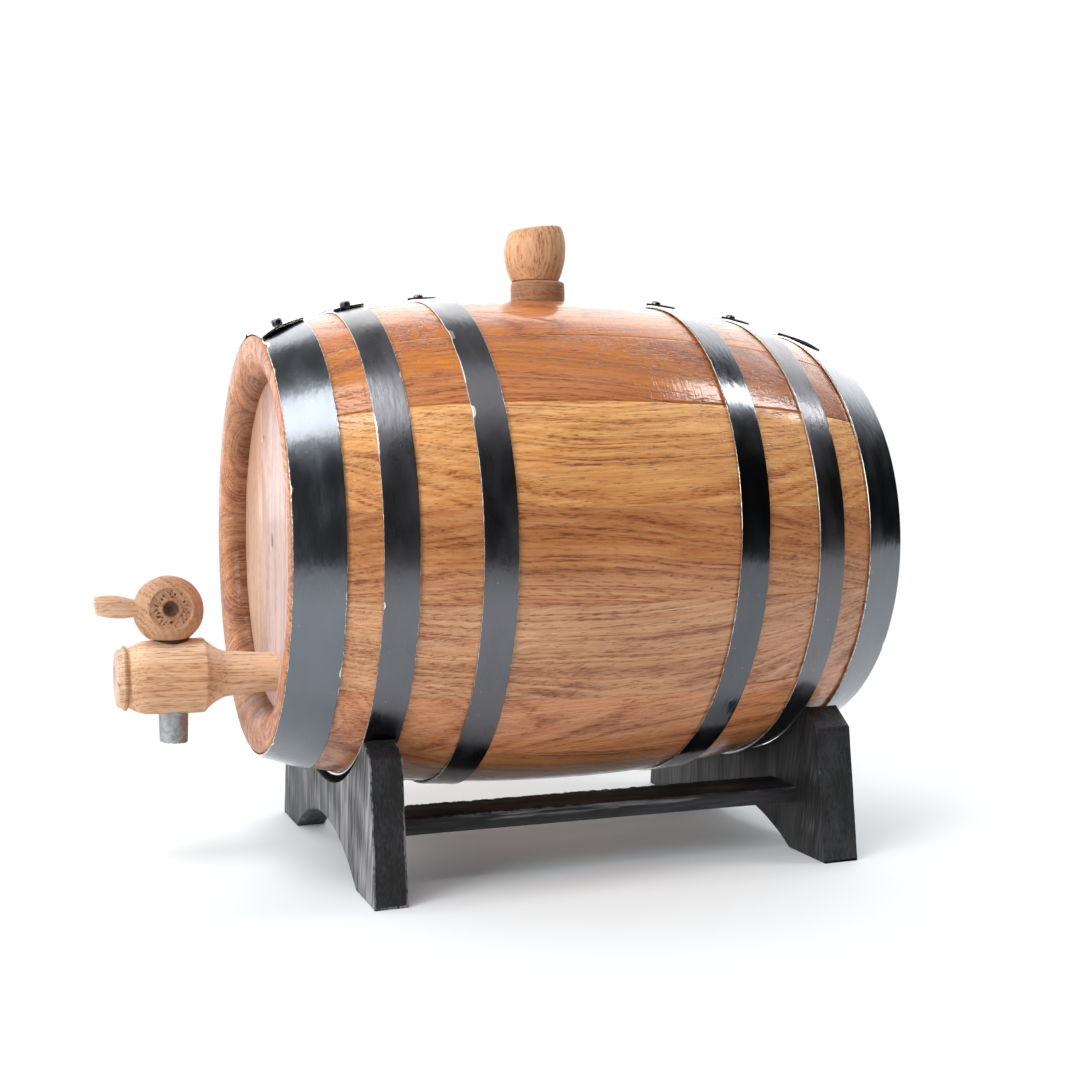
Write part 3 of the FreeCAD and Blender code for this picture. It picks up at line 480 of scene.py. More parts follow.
def round_the_axis(x, radius, degrees):
    """Points at x from mid cask, at a radius and degrees from the top to -Y."""
    a = np.radians(degrees)
    return np.stack(np.broadcast_arrays(
        CASK_X + x, -radius * np.sin(a), AXIS_Z + radius * np.cos(a)), -1)


# ---------------------------------------------------------------- the staves

def stave_loop():
    """Outline of a stave in (x, radius): outside, chime, groove, inside, and back.

    The chime is a quarter of an ellipse from the head's edge out to the flat
    end grain, whose outer corner is broken by a small round.
    """
    x = along(-HALF_LENGTH + 0.9, HALF_LENGTH - 0.9, 121, 0.2)
    outside = np.stack([x, cask_radius(x)], -1)
    edge = corner((HALF_LENGTH - 0.8, cask_radius(HALF_LENGTH) - 0.75), 0.8, 75, 0)
    a = np.radians(along(90, 0, 16))
    chime = np.stack([HEAD_X + HEAD_DEPTH * np.sin(a),
                      HEAD_RADIUS + CHIME_WIDTH * (1 - np.cos(a))], -1)
    groove = np.array([(HEAD_X, CROZE_RADIUS), (CROZE_X, CROZE_RADIUS), (CROZE_X, HEAD_RADIUS)])
    x = along(CROZE_X - 3, -CROZE_X + 3, 41)
    inside = np.stack([x, wall_radius(x)], -1)
    rear = np.concatenate([edge, chime, groove])
    front = rear[::-1] * (-1, 1)
    return np.concatenate([outside, rear, inside, front])


# Degrees of the round that each stave takes, from the top one on towards -Y.
STAVE_WIDTHS = [23, 24, 21, 24, 20, 23, 19, 24, 22, 21, 25, 20, 24, 22, 23, 25]
STAVE_TINTS = ["#cf8c4c", "#dd8d44", "#ce833b", "#efb779", "#cc9262", "#d5a278", "#d8996b",
               "#c48a5b", "#ad7347", "#b98150", "#c08a55", "#b27745", "#c99154", "#bd8148",
               "#ca8f52", "#c08244"]
# Where each stave grew: its place across and out from the heart of the tree,
# and how far the trunk leans per millimetre of length.
STAVE_HEARTS = [(6, 95, 0.05), (-14, 60, 0.09), (20, 44, -0.07), (-42, 70, 0.03),
                (48, 52, -0.04), (-30, 38, 0.08), (10, 58, 0.11), (-8, 46, -0.1),
                (26, 64, 0.06), (-22, 52, 0.05), (34, 48, -0.06), (-12, 70, 0.1),
                (40, 60, 0.03), (-35, 56, -0.08), (15, 80, 0.06), (-25, 66, -0.05)]
# How the colour of some staves drifts: share across the width, share along.  This is
# partly the boards' own tone and partly painted light and shade, mostly lighter towards
# the top and the front end.
STAVE_DRIFTS_AND_SHADE = {2: (-0.06, -0.04), 3: (-0.1, -0.22), 4: (-0.14, 0.0), 5: (0.06, 0.0),
                6: (0.0, -0.05)}
CHIME_TINT = "#c59274"
CHIME_SHARE = 0.75      # how much of the chime's tint covers a stave's own
# painted shade in the corner where the chime meets the head
CHIME_CORNER_SHADE = 0.42       # how much darker the chime is where it meets the head
CHIME_DRY = 0.7         # how much of the varnish the end grain has drunk
JOINT_DEPTH = 0.16

LOOP = stave_loop()
INWARD = inward_normals(LOOP)
ON_CHIME = np.maximum(
    smooth_step(HALF_LENGTH - 1.6, HALF_LENGTH - 0.5, np.abs(LOOP[:, 0])),
    (np.abs(LOOP[:, 0]) > HEAD_X - 0.5) * (LOOP[:, 1] < cask_radius(LOOP[:, 0]) - 1.5))
# painted shade: the chime darkens towards the head, in the corner between them
SHADED_BY_HEAD = ON_CHIME * (1 - smooth_step(HEAD_RADIUS, HEAD_RADIUS + 5.5, LOOP[:, 1]))


def stave(number, middle, width):
    """One stave: the outline swept about the axis over its width in degrees.

    Near both joints the outline shrinks by up to a sixth of a millimetre, so
    that a fine groove shows between neighbours.
    """
    half = math.radians(width / 2) * BELLY_RADIUS
    edge = np.array([0.0, 0.12, 0.3, 0.6, 1.1])
    arc = np.concatenate([-half + edge, along(-half + 3, half - 3, 13), half - edge[::-1]])
    groove = JOINT_DEPTH * (1 - smooth_step(0, 0.62, half - np.abs(arc)))
    places = LOOP[None] + INWARD[None] * groove[:, None, None]
    degrees = middle + np.degrees(arc / BELLY_RADIUS)
    x, radius = places[..., 0], places[..., 1]
    dip = 0.1 * unevenness(number, [x, arc[:, None]], (90, 30))
    outer = smooth_step(3, 6, radius - wall_radius(np.clip(x, -CROZE_X, CROZE_X)))
    grid = round_the_axis(x, radius + dip * outer, degrees[:, None])
    across, out, lean = STAVE_HEARTS[number - 1]
    grain = np.stack([x + 400 * number, arc[:, None] + across + lean * x,
                      radius - BELLY_RADIUS + out + 0.5 * lean * x], -1)
    own, rim = (np.array(paint(code)) for code in (STAVE_TINTS[number - 1], CHIME_TINT))
    wide, long = STAVE_DRIFTS_AND_SHADE.get(number, (0.0, 0.0))
    # partly the board's own tone, partly painted light and shade across and along it
    drift_and_shade = 1 + wide * arc[:, None] / half + long * x / HALF_LENGTH
    part = CHIME_SHARE * ON_CHIME[None, :, None]
    mottle = 1 + 0.12 * unevenness(number + 50, [radius, arc[:, None]], (5, 7))
    # green and blue drift more than red, so a dark end is a redder one
    tint = own * (1 - part) * drift_and_shade[..., None] ** np.array([0.8, 1.2, 1.1, 1.0])
    tint = tint + rim * part * mottle[..., None] * (1 + 0.14 * math.sin(2.4 * number))
    # painted shade in the chime's corner beside the head
    tint = tint * (1 - CHIME_CORNER_SHADE * SHADED_BY_HEAD[None, :, None])
    tint[..., 3] = 1 - CHIME_DRY * ON_CHIME
    label = "stave_%02d" % number
    return make(label + "_oak", grid, "cask", [label], varnished_oak,
                grain=grain, tint=tint)


def bore(piece, x, radius, low, high):
    """Cut a round upright hole through a piece, and keep its grain and tint."""
    around = 72
    rod = turned(np.array([(low, radius), (high, radius)]), around) + (x, 0, 0)
    index = np.arange(2 * around).reshape(2, around)
    near, far = index, np.roll(index, -1, 1)
    sides = np.stack([near[0], far[0], far[1], near[1]], -1).tolist()
    mesh = bpy.data.meshes.new("bore")
    mesh.from_pydata((rod.reshape(-1, 3) * MM).tolist(), [],
                     sides + [index[0][::-1].tolist(), index[1].tolist()])
    cutter = bpy.data.objects.new("bore", mesh)
    bpy.context.scene.collection.objects.link(cutter)
    cut = piece.modifiers.new("bore", "BOOLEAN")
    cut.operation, cut.solver, cut.object = "DIFFERENCE", "EXACT", cutter
    solid = piece.evaluated_get(bpy.context.evaluated_depsgraph_get())
    drilled = bpy.data.meshes.new_from_object(solid)
    piece.modifiers.remove(cut)
    drilled.name = piece.data.name
    piece.data = drilled
    bpy.data.objects.remove(cutter)


middle = 0.0
for number, width in enumerate(STAVE_WIDTHS, start=1):
    if number > 1:
        middle += (STAVE_WIDTHS[number - 2] + width) / 2
    board = stave(number, middle, width)
    if number == 1:
        bore(board, BUNG_X, BUNG_HOLE, AXIS_Z + 60, AXIS_Z + 110)


# ------------------------------------------------------------------ the heads

# The boards' colours: partly the oak's own and partly painted sheen, paled and greyed.
HEAD_TINTS_AND_SHEEN = {"near": "#c6a59c", "middle": "#c2a299", "far": "#cfa890"}
# A slit and a pin hole in the front head: place in y and z from the middle of
# the head, half width and half height.
HEAD_FLAWS = [(3.7, 0.6, 1.5, 2.9), (20.0, 41.5, 1.3, 0.8)]
# painted shade darkens the slit and the pin hole almost to black; the second number is their
# depth
FLAW_SHADE, FLAW_DEPTH = 0.96, 0.6
HEAD_FADE = (0.12, 0.22, 0.28)      # what red, green and blue lose towards the top
HEAD_VARNISH = 0.5
HEAD_THICK = 10.0
TONGUE = 5.9        # thickness that is left at the rim, where the croze holds it
PLAY = 0.15         # play of a head in the croze
JOINT_Y = 24.0      # the joints between a head's boards, to both sides


def head_board(end, place, side, near, far):
    """One board of a head: an outline in x and z carried along y.

    The outline's half height follows the head's round, and its rim is thinned
    to the tongue that sits in the groove.  Both long edges are eased.
    """
    y = np.concatenate([near + np.array([0.0, 0.15, 0.5]),
                        along(near + 1.5, far - 1.5, 70, 0.3),
                        far - np.array([0.5, 0.15, 0.0])])
    eased = 0.2 * (1 - smooth_step(0, 0.5, np.minimum(y - near, far - y)))
    eased = eased * (np.abs(y) < CROZE_RADIUS - 3)
    tongue = np.sqrt(np.maximum((CROZE_RADIUS - PLAY) ** 2 - y ** 2, 0.01))
    thick = np.sqrt(np.maximum((HEAD_RADIUS - PLAY) ** 2 - y ** 2, 0.01))
    thick = np.minimum(thick, tongue - 0.02)
    t = np.linspace(-1, 1, 161)
    face = np.stack([eased[:, None] + 0 * t, tongue[:, None] * t], -1)
    steps = [(TONGUE, tongue), (TONGUE, thick), (HEAD_THICK, thick), (HEAD_THICK, -thick),
             (TONGUE, -thick), (TONGUE, -tongue)]
    back = np.stack([np.stack([np.full_like(y, depth), z], -1) for depth, z in steps], 1)
    outline = np.concatenate([face, back], 1)
    depth, z = outline[..., 0], outline[..., 1]
    dip = 0.12 * np.abs(unevenness(31 + side, [z, y[:, None]], (60, 25)))
    flaw = 0 * z
    for flaw_y, flaw_z, wide, tall in (HEAD_FLAWS if side == FRONT else ()):
        flaw = flaw + np.exp(-((y[:, None] - flaw_y) / wide) ** 2 - ((z - flaw_z) / tall) ** 4)
    flaw = flaw * (depth < 1)
    inset = depth + dip * (depth < 1) + FLAW_DEPTH * flaw
    grid = np.stack([CASK_X + side * (HEAD_X - inset), y[:, None] + 0 * z, AXIS_Z + z], -1)
    # how far beside the tree's heart each board was sawn
    offset = {"near": 30, "middle": -12, "far": 55}[place] + 9 * side
    grain = np.stack([z + 300 * side + near * 7, y[:, None] + offset + 0.04 * z,
                      62 - depth], -1)
    # partly painted sheen: the board's colour is paled and greyed
    tint = plain_tint(grid, HEAD_TINTS_AND_SHEEN[place])
    # painted shade in the slit and the pin hole
    tint[..., :3] *= 1 - FLAW_SHADE * np.clip(flaw, 0, 1)[..., None]
    tint[..., :3] *= 1 - z[..., None] / HEAD_RADIUS * HEAD_FADE
    tint[..., 3] = HEAD_VARNISH
    label = "head_%s_%s" % (end, place)
    make(label + "_oak", grid, "cask", [label], sanded_oak,
         grain=grain, tint=tint)


for end, side in (("front", FRONT), ("rear", REAR)):
    rim = CROZE_RADIUS - PLAY
    for place, near, far in (("near", -rim, -JOINT_Y), ("middle", -JOINT_Y, JOINT_Y),
                             ("far", JOINT_Y, rim)):
        head_board(end, place, side, near, far)


# ------------------------------------------------------------------ the hoops

STRAP = 0.9         # thickness of the steel
TAIL_ROWS = 8


class Hoop:
    """One strap hoop.

    at is its inner edge from mid cask, rivet the rivet's turn from the top in
    degrees, tail and slant the strap's run past the rivet and how much more
    of it one edge has, and lean how far the hoop is tipped, in degrees.
    """

    def __init__(self, label, side, at, width, rivet, tail, slant, finish, lean=0.0):
        self.label, self.side, self.width, self.rivet = label, side, width, rivet
        self.tail, self.slant, self.finish, self.lean = tail, slant, finish, lean
        self.seed = sum(map(ord, label))
        # a flat strap stands off by what the staves bulge across its width
        self.lift = (width * width / (8 * END_ARC) + 0.1
                     + width * math.sin(math.radians(lean)) / 2)
        wide, narrow = (float(cask_radius(x)) + self.lift for x in (at, at + width))
        self.x = side * (at + width / 2)
        self.radius = (wide + narrow) / 2
        self.slope = math.atan((wide - narrow) / width)
        self.drop = abs(self.x) * self.radius * math.sin(math.radians(lean)) / FLAT_ARC

    def place(self, along_u, out_v, degrees, beyond):
        """Points of the strap from its own coordinates.

        u runs across the strap towards the cask's end, v outwards; degrees
        go round from the top to -Y, and beyond is a straight run past them.
        """
        a = np.radians(degrees)
        cos, sin = math.cos(self.slope), math.sin(self.slope)
        x = self.side * (along_u * cos + out_v * sin)
        r = self.radius - along_u * sin + out_v * cos
        y = -r * np.sin(a) - beyond * np.cos(a)
        z = r * np.cos(a) - beyond * np.sin(a)
        tip = math.radians(self.lean)
        return np.stack(np.broadcast_arrays(
            CASK_X + self.x + x * math.cos(tip) + z * math.sin(tip), y,
            AXIS_Z - self.drop + z * math.cos(tip) - x * math.sin(tip)), -1)


HOOPS = [
    Hoop("front_head", FRONT, 101.6, 18.4, 8.7, 9.2, 5.2, glossy_strap),
    Hoop("front_quarter", FRONT, 78.1, 12.4, 6.9, 3.4, 1.2, satin_strap),
    Hoop("front_bilge", FRONT, 44.4, 12.4, -3.4, 3.4, 1.0, satin_strap),
    Hoop("rear_bilge", REAR, 41.1, 12.4, 1.6, 3.4, 0.9, dark_strap, 1.7),
    Hoop("rear_quarter", REAR, 76.3, 12.4, 4.7, 3.4, 1.0, satin_strap),
    Hoop("rear_head", REAR, 101.6, 18.4, 4.0, 9.2, 3.0, glossy_strap),
]

# Marks on a strap's edge: degrees, which edge (1 is the one at the cask's
# end), half length, depth of the dent and reach of bare metal in millimetres.
EDGE_MARKS = {
    "front_head": [(17.5, 1, 2.2, 1.1, 1.5), (24.5, 1, 2.4, 0.9, 1.2), (38, 1, 2.0, 0.2, 0.8),
                   (74, 1, 1.5, 0.25, 0.9), (118, -1, 1.8, 0.2, 0.5), (150, 1, 2.0, 0.3, 0.6)],
    "front_bilge": [(35.5, 1, 3.4, 0.45, 1.7), (59.0, 1, 2.8, 0.3, 1.3),
                    (47, 1, 9.0, 0.05, 0.5)],
    "front_quarter": [(48, -1, 1.4, 0.2, 0.5), (63, 1, 9.0, 0.05, 0.7), (101, 1, 1.5, 0.3, 0.6)],
    "rear_bilge": [(44, -1, 1.2, 0.2, 0.5), (88, 1, 1.6, 0.2, 0.5)],
    "rear_quarter": [(61, 1, 1.5, 0.3, 0.6)],
    "rear_head": [(35, -1, 2.0, 0.35, 0.6), (120, 1, 1.5, 0.3, 0.6)],
}


def strap(hoop):
    """The strap, a rounded section carried round once and over its own start.

    It starts under the lap, goes once round on the staves, climbs by its own
    thickness onto its start and ends in a tail past the rivet, cut at a slant
    and sprung up a little in its middle.  Each mark pushes an edge in by a
    bell curve.
    """
    section = bar_section(hoop.width, STRAP, 0.2, 30)
    u0, v0 = section[:, 0], section[:, 1]
    start, end = hoop.rivet - 11.5, hoop.rivet + 361    # a lap of 12.5 degrees
    turns = np.concatenate([along(start, end - 16, 480), along(end - 15.4, end, 32)])
    degrees = np.concatenate([turns, np.full(TAIL_ROWS, end)])
    past = np.concatenate([0 * turns, np.linspace(0.15, 1, TAIL_ROWS)])
    climb = (STRAP + 0.03) * smooth_step(end - 17, end - 13, degrees)
    a = degrees[:, None] + 0 * u0
    u = u0 + 0 * a
    arc = np.radians(a) * hoop.radius
    u = u + 0.07 * unevenness(hoop.seed, [arc], (60,)) * np.sign(u)
    bare = 0 * a
    for turn, edge, length, depth, bared in EDGE_MARKS[hoop.label]:
        gap = (np.mod(a - turn + 180, 360) - 180) * math.radians(1) * hoop.radius
        inset = hoop.width / 2 - edge * u0
        near = np.exp(-(gap / length) ** 4)
        u = u - edge * depth * smooth_step(4.0, 0.5, inset) * np.exp(-(gap / length) ** 2)
        bare = np.maximum(bare, 1.6 * near * smooth_step(1.5 * bared, 0.5 * bared, inset))
    share = 2 * u0 / hoop.width
    reach = past[:, None] * (hoop.tail + hoop.slant * share)
    v = v0 + climb[:, None] + 0.03 * unevenness(hoop.seed + 1, [arc, u], (35, 30))
    v = v - reach ** 2 / (2 * hoop.radius) * (0.1 + 0.8 * smooth_step(0.2, 1.0, share))
    v = v + 0.05 * hoop.tail * past[:, None] ** 2 * (1 - share ** 2)
    grid = hoop.place(u, v, a, reach)
    grain = np.stack([arc + reach, u0 + 0 * a + hoop.rivet * 37, v], -1)
    rim = smooth_step(0.93, 1.0, np.abs(share)) * (v0 > 0.3)
    rim = np.maximum(rim, 1.25 * smooth_step(0.12, 0.02, hoop.width / 2 - np.abs(u0)))
    end_rim = smooth_step(0.9, 1.0, past)[:, None]
    wear = np.maximum(np.maximum(rim, end_rim), bare)
    make("hoop_%s_strap" % hoop.label, grid, "cask", ["hoop_" + hoop.label],
         hoop.finish, grain=grain, wear=wear)


def rivet(hoop):
    """A rivet: a turned head on the strap's lap with a hammered flat crown."""
    profile = np.concatenate([
        [(-0.9, 1.2), (0.9, 1.2), (0.92, 2.0), (1.05, 2.1), (1.9, 2.1)],
        corner((1.9, 1.25), 0.85, 80, 10, 7),
        [(2.78, 1.1), (2.8, 0.5), (2.8, 0.1)]])
    rings = turned(profile, 40)
    x, y, up = (rings[..., axis] for axis in range(3))
    beaten = 1 + 0.035 * unevenness(hoop.seed + 2, [np.arctan2(y, x) * 3, up], (4, 2))
    seat = STRAP + up
    grid = hoop.place(x * beaten * hoop.side, seat, hoop.rivet, y * beaten)
    grain = np.stack([x * 2, y * 2, seat + hoop.rivet], -1)
    wear = 0.85 * smooth_step(2.4, 2.8, up)
    make("rivet_%s_head" % hoop.label, grid, "cask", ["rivet_" + hoop.label],
         satin_strap, grain=grain, wear=wear, crease=40)


for hoop in HOOPS:
    strap(hoop)
    rivet(hoop)


# --------------------------------------------------------- bung and its ring

BUNG_FOOT = AXIS_Z + BELLY_RADIUS + 8.0
COLLAR_TOP = BUNG_FOOT - 0.3
COLLAR_SHIFT = 1.2      # how far the ring sits off its hole


def turned_wood(grid, fibres, heart, tint):
    """Grain places and tint of a turned piece.

    fibres are the tree's own axes, trunk first, and heart is added to them.
    """
    return grid @ np.array(fibres).T + np.array(heart), plain_tint(grid, tint)


UPRIGHT = ((0, 0, 1), (1, 0, 0), (0, 1, 0))      # fibres run along Z
LENGTHWAYS = ((1, 0, 0), (0, 1, 0), (0, 0, 1))   # fibres run along X
CROSSWAYS = ((0, 1, 0), (1, 0, 0), (0, 0, 1))    # fibres run along Y


def bung():
    """The bung: a turned knob with a sawn sloping top on a tapered shank.

    The knob's radius follows two arcs that meet where it is widest.  Heights above
    the foot are stretched to the saw plane, which rises towards the rear.
    """
    widest, belly, sawn, slope = 12.5, 12.3, 21.4, math.tan(math.radians(7))
    z = along(0, sawn - 0.9, 40)
    low, high = (widest - arc + np.sqrt(arc ** 2 - (z - belly) ** 2)
                 for arc in (bow_radius(3.0, belly), bow_radius(3.5, 11.9)))
    knob = np.stack([z, np.where(z < belly, low, high)], -1)
    rim = knob[-1, 1]
    top = np.stack([sawn - np.array([0.5, 0.18, 0.02, 0.0, 0.02, 0.0]),
                    rim - np.array([0.3, 0.7, 1.4, 3.0, 6.0, rim - 0.3])], -1)
    shank = np.stack([along(-26, 0, 14), 8.4 + 0.05 * along(-26, 0, 14)], -1)
    rings = turned(np.concatenate([shank, knob, top]), 112)
    x, y, z = rings[..., 0], rings[..., 1], rings[..., 2]
    lift = np.clip(z / sawn, 0, 1)
    wobble = 1 + 0.006 * unevenness(5, [x, y, z], (14, 14, 9)) * (z > 0.5)
    cut = 0.12 * unevenness(9, [x, y], (3.0, 9.0)) * smooth_step(0.97, 1.0, lift)
    grid = np.stack([BUNG_X + x * wobble, y * wobble,
                     BUNG_FOOT + z + lift * (slope * x) + cut], -1)
    grain, tint = turned_wood(grid - (BUNG_X, 0, 0), UPRIGHT, (0, 18, 31), "#e4b58c")
    make("bung_knob", grid, "bung", ["bung"], bare_turned_oak,
         grain=grain, tint=tint)


def collar():
    """The ring round the bung hole: a rounded section carried round the bung.

    Its foot follows the cask's round: height is the square root of the belly
    radius squared less the distance to the side squared.
    """
    a = np.linspace(0, 2 * math.pi, 112, endpoint=False)
    section = np.concatenate([      # radius, share of the height
        [(11.0, t) for t in (0.0, 0.2, 0.4, 0.6)],
        corner((10.0, 0.0), 1.0, 0, 90, 6) * (1, 0.15) + (0, 0.85),
        [(9.8, 1.0), (BUNG_HOLE + 0.2, 0.99), (BUNG_HOLE, 0.93)],
        [(BUNG_HOLE, t) for t in (0.6, 0.3, 0.0)]])
    r, t = section[:, :1], section[:, 1:]
    x = r * np.cos(a) - (r < 9.0) * COLLAR_SHIFT
    y = r * np.sin(a)
    rough = 1 + 0.008 * unevenness(12, [a * 11, t * 6], (20, 3)) * (r > 10.2)
    foot = AXIS_Z + np.sqrt((BELLY_RADIUS + 0.05) ** 2 - y ** 2)
    grid = np.stack([BUNG_X + COLLAR_SHIFT + x * rough, y * rough,
                     foot + t * (COLLAR_TOP - foot)], -1)
    grain, tint = turned_wood(grid - (BUNG_X, 0, 0), LENGTHWAYS, (0, 24, 12), "#b08363")
    make("bung_ring", grid, "cask", ["bung_collar"], bare_turned_oak,
         wrap_rows=True, grain=grain, tint=tint)


bung()
collar()


# ------------------------------------------------------------------ spigot

SPIGOT_Z = AXIS_Z - HEAD_RADIUS + 14.2
NOSE_X = CASK_X - HALF_LENGTH - 51.0
KEY_X = CASK_X - HALF_LENGTH - 29.7
SPIGOT_TOP = SPIGOT_Z + 14.25
KNOB_X = KEY_X - 1.5
KNOB_Z = SPIGOT_TOP + 11.05
KNOB_FLAT = SPIGOT_TOP + 0.3


def spigot():
    """The spigot: nose, serrated bead, long barrel, cove and neck, turned.

    The barrel's radius is an arc, the cove falls steeply and then levels off
    as a power of the run, and the bead is notched round by a cosine.
    """
    nose = np.array([(0.35, 0.3), (0.3, 3.0), (0.12, 6.0), (0.0, 8.6), (0.12, 9.5),
                     (0.45, 10.2), (1.0, 10.8), (1.6, 11.1), (2.2, 11.25)])
    bead = np.array([(2.4, 11.4), (2.7, 11.75), (3.0, 11.9), (3.4, 11.95), (3.8, 11.85),
                     (4.1, 11.5), (4.3, 11.15), (4.6, 11.05)])
    a = along(0, 1, 14)
    rise = np.stack([4.6 + 8.0 * a, 11.05 + 2.85 * np.sin(a * math.pi / 2) ** 0.85], -1)[1:]
    s = along(12.6, 32.0, 34)
    barrel = np.stack([s, 14.3 - (s - 26) ** 2 / (2 * 240.0)], -1)[1:]
    edge = np.array([(32.6, 14.1), (33.0, 13.75), (33.5, 13.2), (33.9, 12.8)])
    s = along(0, 1, 18)
    cove = np.stack([33.9 + 9.3 * s, 12.8 - 4.3 * (1 - (1 - s) ** 1.9)], -1)[1:]
    s = along(43.2, 60.0, 14)
    neck = np.stack([s, 8.5 - 0.85 * smooth_step(43.2, 58, s)], -1)[1:]
    tail = np.array([(62.0, 7.65), (70.0, 7.65), (76.0, 7.65)])
    rings = turned(np.concatenate([nose, bead, rise, barrel, edge, cove, neck, tail]), 440)
    run, y, z = rings[..., 2], rings[..., 0], rings[..., 1]
    turn = np.arctan2(z, y)
    on_bead = smooth_step(2.2, 2.7, run) * (1 - smooth_step(3.9, 4.3, run))
    notches = 88
    wave = np.cos(notches * turn + 0.9 * np.sin(5 * turn))
    teeth = 0.28 * on_bead * wave / np.hypot(y, z)
    uneven = 1 + 0.004 * unevenness(3, [run, y, z], (26, 12, 12)) + teeth
    pits = np.clip(unevenness(14, [y, z], (3.0, 3.0)) - 0.7, 0, 1) * (run < 0.6)
    grid = np.stack([NOSE_X + run + 0.5 * pits, y * uneven, SPIGOT_Z + z * uneven], -1)
    grain, tint = turned_wood(grid, LENGTHWAYS, (900, 19, -40), "#e4ba93")
    # greyer end grain on the nose, and painted light that pales the top, the cove and the neck
    face = smooth_step(2.0, 0.8, run)[..., None]
    tint[..., :3] *= 1 + face * (-0.1, 0.04, 0.45)
    tint[..., :3] *= 1 + (1 - face) * smooth_step(4.0, 11.0, z)[..., None] * (0.2, 0.48, 0.8)
    tint[..., :3] *= 1 + smooth_step(30.0, 36.0, run)[..., None] * (0.09, 0.2, 0.34)
    # painted shade in the bead's notches and in the pits of the nose
    tint[..., :3] *= 1 - (0.3 * on_bead * (0.5 - 0.5 * wave) + np.clip(pits, 0, 0.7))[..., None]
    make("spigot_turning", grid, "cask", ["spigot_body"],
         bare_turned_oak, grain=grain, tint=tint)


def key_knob():
    """The key's knob: a ball with a ringed flat face and a stepped dimple at both ends.

    It is turned about an axis near Y and sawn flat underneath: points below
    the saw plane are raised to it.
    """
    half, flat, ball = 10.0, 8.4, 13.1
    arc = bow_radius(ball - flat, half)
    hollow = np.array([(-half + 2.3, 0.2), (-half + 2.2, 0.8), (-half + 1.5, 1.3),
                       (-half + 1.4, 1.9), (-half + 1.25, 2.5), (-half + 0.6, 2.9),
                       (-half + 0.15, 3.3), (-half + 0.1, 3.8), (-half + 0.2, 4.1)])
    face = np.array([(-half + 0.35, 4.4), (-half + 0.36, 5.0), (-half + 0.33, 5.6),
                     (-half + 0.35, 6.2), (-half + 0.33, 6.8), (-half + 0.35, 7.4),
                     (-half + 0.3, 7.8), (-half + 0.03, 8.0), (-half, 8.2),
                     (-half + 0.12, 8.5)])
    s = along(-half + 0.4, half - 0.4, 60)
    side = np.stack([s, ball - arc + np.sqrt(arc ** 2 - s ** 2)], -1)
    profile = np.concatenate([hollow, face, side, face[::-1] * (-1, 1), hollow[::-1] * (-1, 1)])
    rings = turned(profile, 120)
    s, x, z = rings[..., 2], rings[..., 0], rings[..., 1]
    radius = np.hypot(x, z)
    # torn end grain on the flat faces, between the dimple and the rim
    pits = np.clip(unevenness(21, [x, z], (2.2, 2.2), 9) - 0.35, 0, 1) * (np.abs(s) > half - 0.5)
    pits = pits * smooth_step(4.0, 4.6, radius) * smooth_step(7.6, 5.6, radius) * 1.6
    s = s * (1 - pits / half)
    uneven = 1 + 0.008 * unevenness(22, [x, z, s], (16, 16, 12)) * (radius > 8.6)
    cant = math.radians(7.0)
    y = s * math.cos(cant) + z * uneven * math.sin(cant)
    up = z * uneven * math.cos(cant) - s * math.sin(cant)
    height = np.maximum(KNOB_Z + up, KNOB_FLAT)
    grid = np.stack([KNOB_X + x * uneven, y, height], -1)
    grain, tint = turned_wood(grid - (KNOB_X, 0, KNOB_Z), CROSSWAYS, (700, 22, 15), "#c9a07f")
    # painted shade: dark deep in the stepped dimple and in the torn pits, and a little darker on
    # the face inside its raised rim
    deep = smooth_step(3.3, 2.6, radius) * 0.75 + smooth_step(7.7, 7.3, radius) * 0.22
    deep = deep * (np.abs(s) > half - 3)
    dark = np.maximum(deep, np.clip(pits * 1.6, 0, 0.85))[..., None]
    tint[..., :3] *= 1 - dark * (0.8, 0.86, 0.9)
    make("key_knob_turning", grid, "spigot_key", ["spigot_key_knob"],
         bare_turned_oak, grain=grain, tint=tint)


def key_peg():
    """The key's peg: a bulged stick with an eased flat tip, along a slight tilt."""
    s = along(13.1, 26.4, 22)
    arc, widest, reach = 24.9, 20.05, 6.95
    bulge = np.sqrt(arc ** 2 - (s - widest) ** 2) - math.sqrt(arc ** 2 - reach ** 2)
    barrel = np.stack([s, 3.35 + bulge], -1)
    tip = np.array([(26.75, 3.3), (26.95, 2.9), (27.0, 2.0), (26.96, 0.3)])
    profile = np.concatenate([[(6.1, 0.3), (6.1, 3.35), (10.0, 3.35)], barrel, tip])
    rings = turned(profile, 56)
    s, y, w = rings[..., 2], rings[..., 0], rings[..., 1]
    uneven = 1 + 0.02 * unevenness(41, [s, y, w], (11, 6, 6))
    tilt = math.radians(5.0)
    y, w = y * uneven, w * uneven
    grid = np.stack([KNOB_X - s * math.cos(tilt) - w * math.sin(tilt), y,
                     KNOB_Z + s * math.sin(tilt) + w * math.cos(tilt)], -1)
    grain, tint = turned_wood(grid, LENGTHWAYS, (0, 14, -60), "#e2bfa4")
    make("key_peg_turning", grid, "spigot_key", ["spigot_key_peg"],
         bare_turned_oak, grain=grain, tint=tint)


